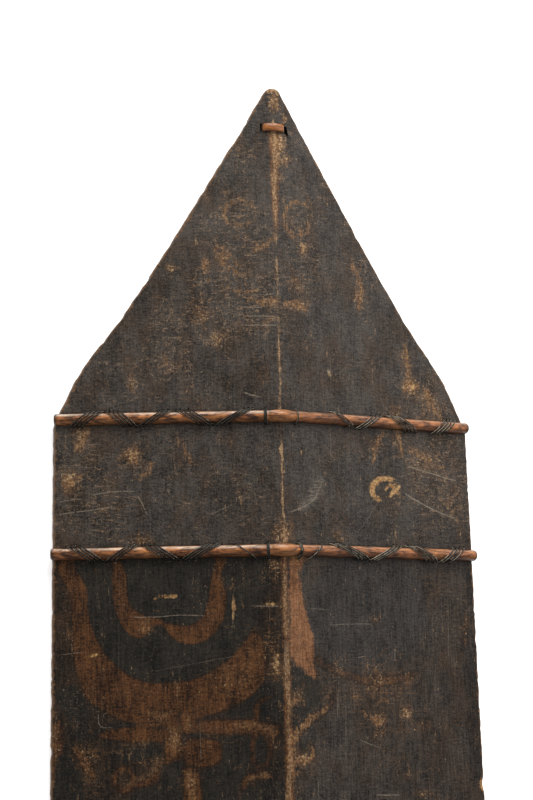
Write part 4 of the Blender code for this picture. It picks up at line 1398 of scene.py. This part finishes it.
flecks = (speckle(spot, 360.0, 5.0, 0.76) - 0.5) * 3.4
worn_tone = ramp(speckle(spot, 520.0, 3.0, 0.7), 0.36, 0.66)
brown_to_bare = blend(worn_tone, WORN_BROWN, BARE_WOOD)
tan_to_pale = blend(worn_tone, WORN_TAN, PALE_SCRATCH)
faded = patches(spot, worn_place * 0.66, 0.55, 0.26)
colour = blend(faded * 0.52, colour, blend(texture, FADED_BROWN, WORN_TAN))
through = ramp(worn_place * 0.62 + flecks * 0.50, 0.49, 0.57)
colour = blend(through * 0.92, colour, brown_to_bare)
faint = paint_mask("faint", 0.0100, 0.0016) * ramp(flecks, -0.25, 0.16, 0.12, 0.88)
faint = faint * (1.0 - in_face * left_half * 0.5)
colour = blend(faint, colour, blend(worn_tone, WORN_BROWN, FAINT_TAN))
bare = calc("MAXIMUM", paint_mask("bare", 0.0050, 0.0010) * 0.85, kept("gouge"))
colour = blend(bare, colour, blend(worn_tone, BARE_DEEP, BARE_LIGHT))
general = patches(stretched(spot, 1.7, 1.0, 1.7), 0.12, 0.56, 0.07) * (1.0 - black_mask * 0.7)
colour = blend(general * 0.62, colour, blend(texture, WORN_BROWN, WORN_TAN))

scuffed_place = kept("scuffed") + worn_place * 0.3
scuff_colour = blend(in_face, tan_to_pale, WORN_TAN)
swirls = scuffs(spot, scuffed_place, 120.0, 0.020)
nicks = scuffs(stretched(spot, 0.32, 1.25, 0.32), scuffed_place, 190.0, 0.022)
cracks = scuffs(stretched(spot, 1.0, 0.8, 1.0), 0.62, 150.0, 0.016)
for mask, paint in ((swirls * 0.80, scuff_colour), (nicks * 0.72, scuff_colour), (cracks * 0.60, CRACK)):
    colour = blend(mask, colour, paint)
print("paint and first wear use", len(tree.nodes), "nodes")

# %% Wear along the ridge and the rim, and painted shade beside the canes
ridge_brown = ramp(kept("ridge_share") + flecks * 0.55, 0.5, 1.15, 0.80, 0.0)
ridge_brown *= ramp(kept("ridge_wear"), 0.55, 0.90) * ramp(worn_tone, 0.1, 0.9, 0.45, 1.0)
colour = blend(ridge_brown, colour, blend(texture, RIDGE_DEEP, RIDGE_LIGHT))
ridge = calc("MAXIMUM", 1.0 - kept("ridge_share"), 0.0) * kept("ridge_wear")
ridge = patches(stretched(spot, 1.0, 0.5, 1.0), ridge * 0.95, 1.05, 0.14) * (0.72 - in_face * 0.26)
colour = blend(ridge, colour, brown_to_bare)
rim_worn = rubbed_edge(spot, kept("rim_distance"), 0.0028, 170.0)
colour = blend(rim_worn * 0.55, colour, blend(worn_tone, WORN_BROWN, WORN_TAN))
# Dirt and painted shade: a darker strip on the board along the foot of each cane.
grime_and_shade = ramp(kept("band_distance"), 0.0052, 0.0078, 1.0, 0.0)
grime_and_shade *= ramp(speckle(spot, 260.0, 3.0, 0.6), 0.35, 0.6)
colour = blend(grime_and_shade * 0.50, colour, GRIME_AND_SHADE)
colour = blend(specks(spot, 620.0, 0.10, 24.0) * 0.42, colour, tan_to_pale)
colour = blend(specks(stretched(spot, 1.0, 0.6, 1.0), 420.0, 0.10, 31.0) * 0.65, colour, DARK_SPECK)
scratched = 0.0
for number in range(len(SCRATCHES)):
    measures = [kept(f"scratch_{number}_{title}") for title in ("offset", "width", "strength")]
    scratched = limited(scratch(spot, *measures) + scratched)
colour = blend(scratched * 0.76, colour, PALE_SCRATCH)
smear = paint_mask("smear", 0.0080, 0.0035) * ramp(weave, 0.2, 0.9, 0.15, 0.62)
colour = blend(smear, colour, SMEAR)
colour = blend(dust(spot, 0.10, 22.0) * (1.0 - in_face * 0.7), colour, BLOOM)
print("paint and wear use", len(tree.nodes), "nodes")

# %% The unpainted back and the polished grip
BACK_DARK, BACK_LIGHT = (0.060, 0.030, 0.014), (0.180, 0.100, 0.052)
GRIP_DARK, GRIP_LIGHT = (0.050, 0.020, 0.009), (0.150, 0.072, 0.034)
BACK_DUST, BACK_SPECK = (0.25, 0.20, 0.155), (0.018, 0.010, 0.006)
back_tone = streaks(spot, 150.0, 5.0, 150.0, 0.20) * 0.5 + texture * 0.5
back_colour = blend(dust(spot, 0.30, 16.0), blend(back_tone, BACK_DARK, BACK_LIGHT), BACK_DUST)
back_specks = specks(stretched(spot, 1.0, 0.3, 1.0), 260.0, 0.10, 12.0)
back_colour = blend(back_specks * 0.65, back_colour, BACK_SPECK)
back_colour = blend(kept("grip"), back_colour, blend(back_tone, GRIP_DARK, GRIP_LIGHT))
colour = blend(kept("front"), back_colour, colour)

# %% Sheen and relief of the wood
roughness = ramp(texture, 0.2, 0.8, 0.50, 0.68) + faded * 0.12 - kept("grip") * 0.20
relief = grain * 0.55 + weave * 0.25 + mottle * 0.4 - through * 0.7 - scratched * 0.6
dress(wood_shader, colour, roughness, 0.16, relief, 0.45, 0.00045)
board.data.materials.clear()
board.data.materials.append(painted_wood)

# %% [markdown]
# ## The canes
# Each cane is a stem split in half, laid flat side down across the front and bent over the ridge,
# where its joint makes a knuckle. It is swept along the front with a half-round section. A stem
# isn't turned on a lathe: the section swells a little at each joint, and the line wanders slightly.

# %% Canes
CANE_OVERHANG_SHARE, CANE_ROUND = 0.62, 0.0024
KNUCKLE_SWELL, KNUCKLE_REACH, KNUCKLE_GROOVE = 0.15, 0.013, 0.0105
CANE_STEPS, CANE_POINTS, CANE_LOW = 190, 19, 0.0008
CANE_JOINTS = {"outer": (-0.148, 0.118), "inner": (-0.118, 0.150)}
JOINT_REACH, JOINT_LIGHT, JOINT_GROOVE = 0.006, 0.014, 0.0016
END_FINE, MIDDLE_FINE = 0.003, 0.016


def roof(x):
    """The front's height, and the direction square off it, at a place across the board."""
    step = 0.0004
    rise = (float(front_height(x + step)) - float(front_height(x - step))) / (2 * step)
    return float(front_height(x)), Vector((-rise, 0, 1)).normalized()


def cane_size(x, reach, joints):
    """The section's size at x: full along the stem, larger at joints, rounded off at the ends."""
    size = 1.0 + 0.015 * noise.noise(Vector((x * 55, 3.0, 0)))
    if abs(x) < KNUCKLE_REACH:
        size += KNUCKLE_SWELL * math.cos(math.pi / 2 * x / KNUCKLE_REACH) ** 2
    size -= 0.045 * math.exp(-((abs(x) - KNUCKLE_GROOVE) / 0.0007) ** 2)
    for joint in joints:
        away = abs(x - joint)
        if away < JOINT_REACH:
            size += 0.035 * math.cos(math.pi / 2 * away / JOINT_REACH) ** 2
        size -= 0.03 * math.exp(-((away - JOINT_GROOVE) / 0.0005) ** 2)
    left = reach - abs(x)
    if left < CANE_ROUND:
        rounding = math.sqrt(max(0.0, 1 - (1 - left / CANE_ROUND) ** 2))
        size *= CANE_OVERHANG_SHARE + (1 - CANE_OVERHANG_SHARE) * rounding
    return size


def cane_stations(reach):
    """Places along a cane, closer together at the knuckle and at both ends."""
    plain = np.linspace(MIDDLE_FINE, reach - END_FINE, CANE_STEPS // 2 - 34)[1:]
    half = np.concatenate([np.linspace(0, MIDDLE_FINE, 22), plain,
                           reach - END_FINE * (1 - np.linspace(0, 1, 12)[1:]) ** 1.6])
    return np.concatenate([-half[:0:-1], half])


def cane_piece(name, node, band, band_y):
    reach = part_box(node)[1].x - math.sin(ROOF_ANGLE) * CANE_HIGH * CANE_OVERHANG_SHARE
    joints = CANE_JOINTS[band]
    shape = bmesh.new()
    titles = ("joint", "end", "underside", "tipward", "left_side")
    layers = [shape.verts.layers.float.new(title) for title in titles]
    rings = []
    for x in cane_stations(reach):
        z, out = roof(x)
        size = cane_size(x, reach, joints)
        fade = min(1.0, abs(x) / KNUCKLE_REACH)
        wander = 0.0003 * noise.noise(Vector((x * 14, band_y * 9, 0))) * fade
        foot = Vector((x, band_y + wander, z)) + out * FIT_GAP * 0.5
        near_joint = min(abs(x - j) for j in (0, *joints))
        ring = []
        for a in np.linspace(-0.10 * math.pi, 1.10 * math.pi, CANE_POINTS):
            fibre = 1 + 0.012 * noise.noise(Vector((x * 30, a * 9, band_y * 50)))
            side = math.cos(a) * CANE_HALF * size * fibre
            lift = math.sin(a) * CANE_HIGH * size * fibre
            made = shape.verts.new(foot + Vector((0, side, 0)) + out * max(lift, -CANE_LOW))
            values = (max(0.0, 1 - near_joint / JOINT_LIGHT), reach - abs(x),
                      max(0.0, 1 - max(0.0, math.sin(a)) * 2.2), math.cos(a) * (1 if band_y > 0 else -1),
                      1.0 if x < 0 else 0.0)
            for layer, value in zip(layers, values):
                made[layer] = value
            ring.append(made)
        rings.append(ring)
    sleeve(shape, rings)
    piece = new_piece(name, shape)
    piece.data.set_sharp_from_angle(angle=math.radians(50))
    return piece


canes = []
for end_name, end in (("upper", 1), ("lower", -1)):
    for band, from_the_tip in BAND_FROM_TIP.items():
        node = f"cane_{end_name}_{band}"
        canes.append((cane_piece(f"{node}_stem", node, band, end * (half_length - from_the_tip)), node))
print("cane faces", sum(len(piece.data.polygons) for piece, _ in canes))

# %% Red cane skin
CANE_DARK, CANE_RED, CANE_LIGHT = (0.042, 0.0140, 0.0055), (0.520, 0.176, 0.046), (0.600, 0.270, 0.090)
CANE_LIT_SIDE, CANE_HIGHLIGHT = (0.640, 0.290, 0.110), (0.680, 0.560, 0.440)
# The first colour on the next line is a painted shadow line where each cane meets the board on its tip side.
CANE_CREASE_SHADE, CANE_SOOT = (0.020, 0.012, 0.008), (0.018, 0.010, 0.006)
# The first colour on the next line is painted shade along both feet of each cane, next to the board.
CANE_FOOT_SHADE, CANE_END = (0.012, 0.008, 0.006), (0.014, 0.009, 0.006)
red_cane, cane_shader, spot = new_finish("red cane")
tipward, left_side, joint = kept("tipward"), kept("left_side"), kept("joint")
fibres = streaks(spot, 24.0, 620.0, 520.0, 0.12)
eyes = streaks(spot, 52.0, 240.0, 240.0, 0.13)
fine_fibres = streaks(spot, 120.0, 2400.0, 1800.0, 0.22)
cane_tone = limited((fibres * 0.35 + eyes * 0.40 + fine_fibres * 0.25 - 0.5) * 1.5 + 0.5)
# Painted shade: each cane darkens towards its side away from the tip, on top of the light and dark of its
# fibres.
colour = blend(cane_tone * ramp(tipward, -0.85, 0.05, 0.40, 1.0), CANE_DARK, CANE_RED)
# Painted light: the left half of each cane is made lighter and more orange.
colour = blend(left_side * ramp(cane_tone, 0.3, 1.0, 0.0, 0.22), colour, CANE_LIT_SIDE)
# Painted highlight: a pale band along each cane's upper side, turned towards the tip, stronger on the left
# half and weaker at the joints.
painted_highlight = ramp(tipward, 0.34, 0.64) * ramp(tipward, 0.72, 0.93, 1.0, 0.0) * ramp(fibres, 0.10, 0.8, 0.40, 1.0)
painted_highlight = painted_highlight * (0.26 + left_side * 0.70) * (1.0 - joint * 0.7)
lighter = limited(joint * ramp(cane_tone, 0.1, 0.7, 0.55, 1.0) + ramp(eyes, 0.72, 1.0) * 0.35)
handled = patches(stretched(spot, 0.35, 1.6, 1.6), 0.20, 0.44, 0.10)
soot = dust(stretched(spot, 1.0, 2.0, 2.0), 0.70, 75.0)
for mask, paint in ((painted_highlight, CANE_HIGHLIGHT), (ramp(tipward, 0.86, 0.99) * 0.60, CANE_CREASE_SHADE),
                    (lighter * 0.34, CANE_LIGHT), (handled * 0.40, CANE_LIGHT), (soot, CANE_SOOT),
                    (kept("underside") * 0.75, CANE_FOOT_SHADE),
                    (ramp(kept("end"), 0.0004, 0.0045, 0.85, 0.0), CANE_END)):
    colour = blend(mask, colour, paint)
cane_shader.inputs["Coat Weight"].default_value = 0.30
cane_shader.inputs["Coat Roughness"].default_value = 0.15
relief = fibres * 0.5 + fine_fibres * 0.5
dress(cane_shader, colour, ramp(cane_tone, 0.1, 0.9, 0.56, 0.42), 0.25, relief, 0.35, 0.00025)
for piece, _ in canes:
    piece.data.materials.append(red_cane)

# %% [markdown]
# ## The lashings
# A strand is a flat split of stem about a millimetre and a half wide. It comes up out of its hole,
# lies slantwise over the cane and goes down the hole on the far side, then runs behind the board to
# the next leg. Every strand is its own sweep with a flat rounded section, so the bundles show real
# gaps, and the holes round them are real as well.

# %% Strands
ARC_STEPS, RUN_STEPS = 9, 6
RUN_END_LIFT, RUN_LIFT, RUN_SAG, RUN_SPREAD = 0.0032, -0.0006, 0.0003, 0.0011
# Shares of the painted highlight on strand edges, for strands on the left half and for those behind the
# board.
LEFT_HIGHLIGHT, BACK_HIGHLIGHT = 0.84, 0.8
STRAND_SECTION = [(-1, 0), (-0.72, 1), (0, 1.25), (0.72, 1), (1, 0), (0.72, -1), (-0.72, -1)]
HOLE_DEEP = 0.85 * (float(front_height(0.1)) - float(back_height(0.1))) * math.cos(ROOF_ANGLE)
RISE = CANE_HIGH + FIT_GAP - CANE_HALF


def ribbon(shape, layer, stations, wide, edge):
    """Sweeps a flat rounded section along (place, square direction) stations."""
    rings = []
    across_line = None
    for k, (here, square) in enumerate(stations):
        before = stations[max(0, k - 1)][0]
        after = stations[min(len(stations) - 1, k + 1)][0]
        way = (after - before).normalized()
        side = way.cross(square)
        if side.length > 0.2:
            across_line = side.normalized()
        flat = across_line.cross(way).normalized()
        ring = []
        for u, v in STRAND_SECTION:
            vert = shape.verts.new(here + across_line * (u * wide / 2) + flat * (v * STRAND_THICK / 2))
            vert[layer] = abs(u) * edge
            ring.append(vert)
        rings.append(ring)
    sleeve(shape, rings)


def leg_stations(strand):
    """From deep in the hole below the cane, over it, to deep in the hole above."""
    out = slanted(strand.side, 0, 0, 1.0) - slanted(strand.side, 0, 0, 0.0)
    radius = CANE_HALF + FIT_GAP + STRAND_THICK / 2 + 0.00012 * (strand.order_in_leg % 2)
    made = []
    for turn_share in [-1] + list(np.linspace(0, 1, ARC_STEPS)) + [2]:
        t = min(1.0, max(0.0, turn_share))
        turn = math.pi * t
        place = strand.low + (strand.high - strand.low) * (1 - math.cos(turn)) / 2
        lift = (radius + RISE) * math.sin(turn)
        y = strand.band_y - HOLE_OFF * math.cos(turn)
        if t != turn_share:
            lift -= HOLE_DEEP
            y += 0.0003 * (-1 if t == 0 else 1)
        square = Vector((0, -math.cos(turn), 0)) + out * math.sin(turn)
        made.append((slanted(strand.side, place, y, lift), square))
    return made


def run_stations(side, band_y, start, end, where, spread):
    """Behind the board, from one hole to the next, bowed a little to lie beside its neighbours."""
    made = []
    for k in range(RUN_STEPS + 1):
        t = k / RUN_STEPS
        bow = math.sin(math.pi * t)
        x = side * (start + (end - start) * t)
        y = band_y + where * HOLE_OFF + spread * RUN_SPREAD * bow
        lift = RUN_END_LIFT if k in (0, RUN_STEPS) else RUN_LIFT - RUN_SAG * bow
        made.append((Vector((x, y, float(back_height(x)) + lift)), Vector((0, 0, -1))))
    return made


lashing_pieces = []
for node in sorted({strand.lashing for strand in strands}):
    shape = bmesh.new()
    layer = shape.verts.layers.float.new("strand_edge")
    for strand in strands:
        if strand.lashing == node:
            wide = STRAND_WIDE * dice.uniform(0.85, 1.12)
            ribbon(shape, layer, leg_stations(strand), wide, 1.0 if strand.side > 0 else LEFT_HIGHLIGHT)
    for name, *run in back_runs:
        if name == node:
            ribbon(shape, layer, run_stations(*run), STRAND_WIDE, BACK_HIGHLIGHT)
    lashing_pieces.append((new_piece(node + "_strands", shape), node))
print("strands fill their holes", round(1000 * HOLE_DEEP, 1), "mm deep")
print("lashing faces", sum(len(piece.data.polygons) for piece, _ in lashing_pieces))

# %% Black strand
STRAND_DARK, STRAND_SHEEN, STRAND_HIGHLIGHT = (0.004, 0.0037, 0.0030), (0.018, 0.016, 0.013), (0.620, 0.550, 0.420)
black_strand, strand_shader, spot = new_finish("black strand")
strand_grain = streaks(spot, 700.0, 700.0, 700.0, 0.2)
# Painted highlight: pale lines along the edges of each strand.
pale = ramp(kept("strand_edge"), 0.66, 0.90) * ramp(speckle(spot, 240.0, 2.0, 0.5), 0.34, 0.54)
colour = blend(pale * 0.92, blend(strand_grain, STRAND_DARK, STRAND_SHEEN), STRAND_HIGHLIGHT)
dress(strand_shader, colour, ramp(strand_grain, 0.0, 1.0, 0.34, 0.5), 0.28, strand_grain, 0.3, 0.0002)
for piece, _ in lashing_pieces:
    piece.data.materials.append(black_strand)

# %% [markdown]
# ## The tip loop
# A strip of cane skin is bound once round the plank below the upper tip, through two slots. Its
# outer face is the stem's own glossy skin, slightly crowned. The strip's path is drawn from below,
# as one closed line with rounded corners, and given a crowned section.

# %% Tip loop
LOOP_SECTION = [(-1.0, 0.35), (-0.8, 0.8), (-0.4, 1.0), (0.4, 1.0), (0.8, 0.8), (1.0, 0.35), (1.0, 0.0),
                (-1.0, 0.0)]
loop_top = float(front_height(0.0)) + LOOP_PROUD
loop_shoulder = slanted(1, LOOP_HALF_SPAN, 0, LOOP_PROUD).z
loop_back = HOLLOW_TOP - LOOP_BACK
loop_line = rounded([(LOOP_HALF_SPAN, loop_shoulder, 0.0022), (0.0, loop_top + 0.0006, 0.012),
                     (-LOOP_HALF_SPAN, loop_shoulder, 0.0022), (-LOOP_HALF_SPAN, loop_back, 0.002),
                     (LOOP_HALF_SPAN, loop_back, 0.002)], 6)
loop_middle = Vector((0.0, (loop_top + loop_back) / 2))
shape = bmesh.new()
loop_edge = shape.verts.layers.float.new("strand_edge")
rings = []
for k, here in enumerate(loop_line):
    way = (loop_line[(k + 1) % len(loop_line)] - loop_line[k - 1]).normalized()
    outward = Vector((-way.y, way.x))
    if outward.dot(here - loop_middle) < 0:
        outward = -outward
    ring = []
    for u, v in LOOP_SECTION:
        flat = here + outward * (v * LOOP_THICK)
        vert = shape.verts.new((flat.x, loop_y + u * LOOP_WIDE / 2, flat.y))
        vert[loop_edge] = abs(u)
        ring.append(vert)
    rings.append(ring)
sleeve(shape, rings, closed=True)
loop_piece = new_piece("tip_loop_strip", shape)
loop_piece.data.set_sharp_from_angle(angle=math.radians(60))
print("loop faces", len(loop_piece.data.polygons))

# %% Pale cane skin
LOOP_DEEP, LOOP_LIGHT = (0.130, 0.038, 0.009), (0.460, 0.165, 0.038)
LOOP_EDGE, LOOP_MARK = (0.085, 0.028, 0.010), (0.055, 0.022, 0.010)
pale_cane, loop_shader, spot = new_finish("pale cane")
skin = streaks(spot, 60.0, 1300.0, 900.0, 0.2)
colour = blend(ramp(kept("strand_edge"), 0.62, 1.0) * 0.75, blend(skin, LOOP_DEEP, LOOP_LIGHT), LOOP_EDGE)
colour = blend(specks(spot, 520.0, 0.16, 60.0) * 0.6, colour, LOOP_MARK)
dress(loop_shader, colour, ramp(skin, 0.0, 1.0, 0.34, 0.22), 0.45, skin, 0.3, 0.0002)
loop_piece.data.materials.append(pale_cane)

# %% [markdown]
# ## Ride, replace and finish
# Every piece rides on the one body and stands for its solid, which is hidden. The box of the finished model
# is measured and kept beside the frame's box.

# %% Ride, replace and finish
FINISHED = [(board, "board", "painted_wood"), (loop_piece, "tip_loop", "pale_cane")]
FINISHED += [(piece, node, "red_cane") for piece, node in canes]
FINISHED += [(piece, node, "black_strip") for piece, node in lashing_pieces]
for piece, node, slot_name in FINISHED:
    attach(piece, "root")
    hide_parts(node)
print("pieces", len(FINISHED))

seen_low, seen_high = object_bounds()
boxes = {"cad": [list(cad_low), list(cad_high)], "visual": [list(seen_low), list(seen_high)]}
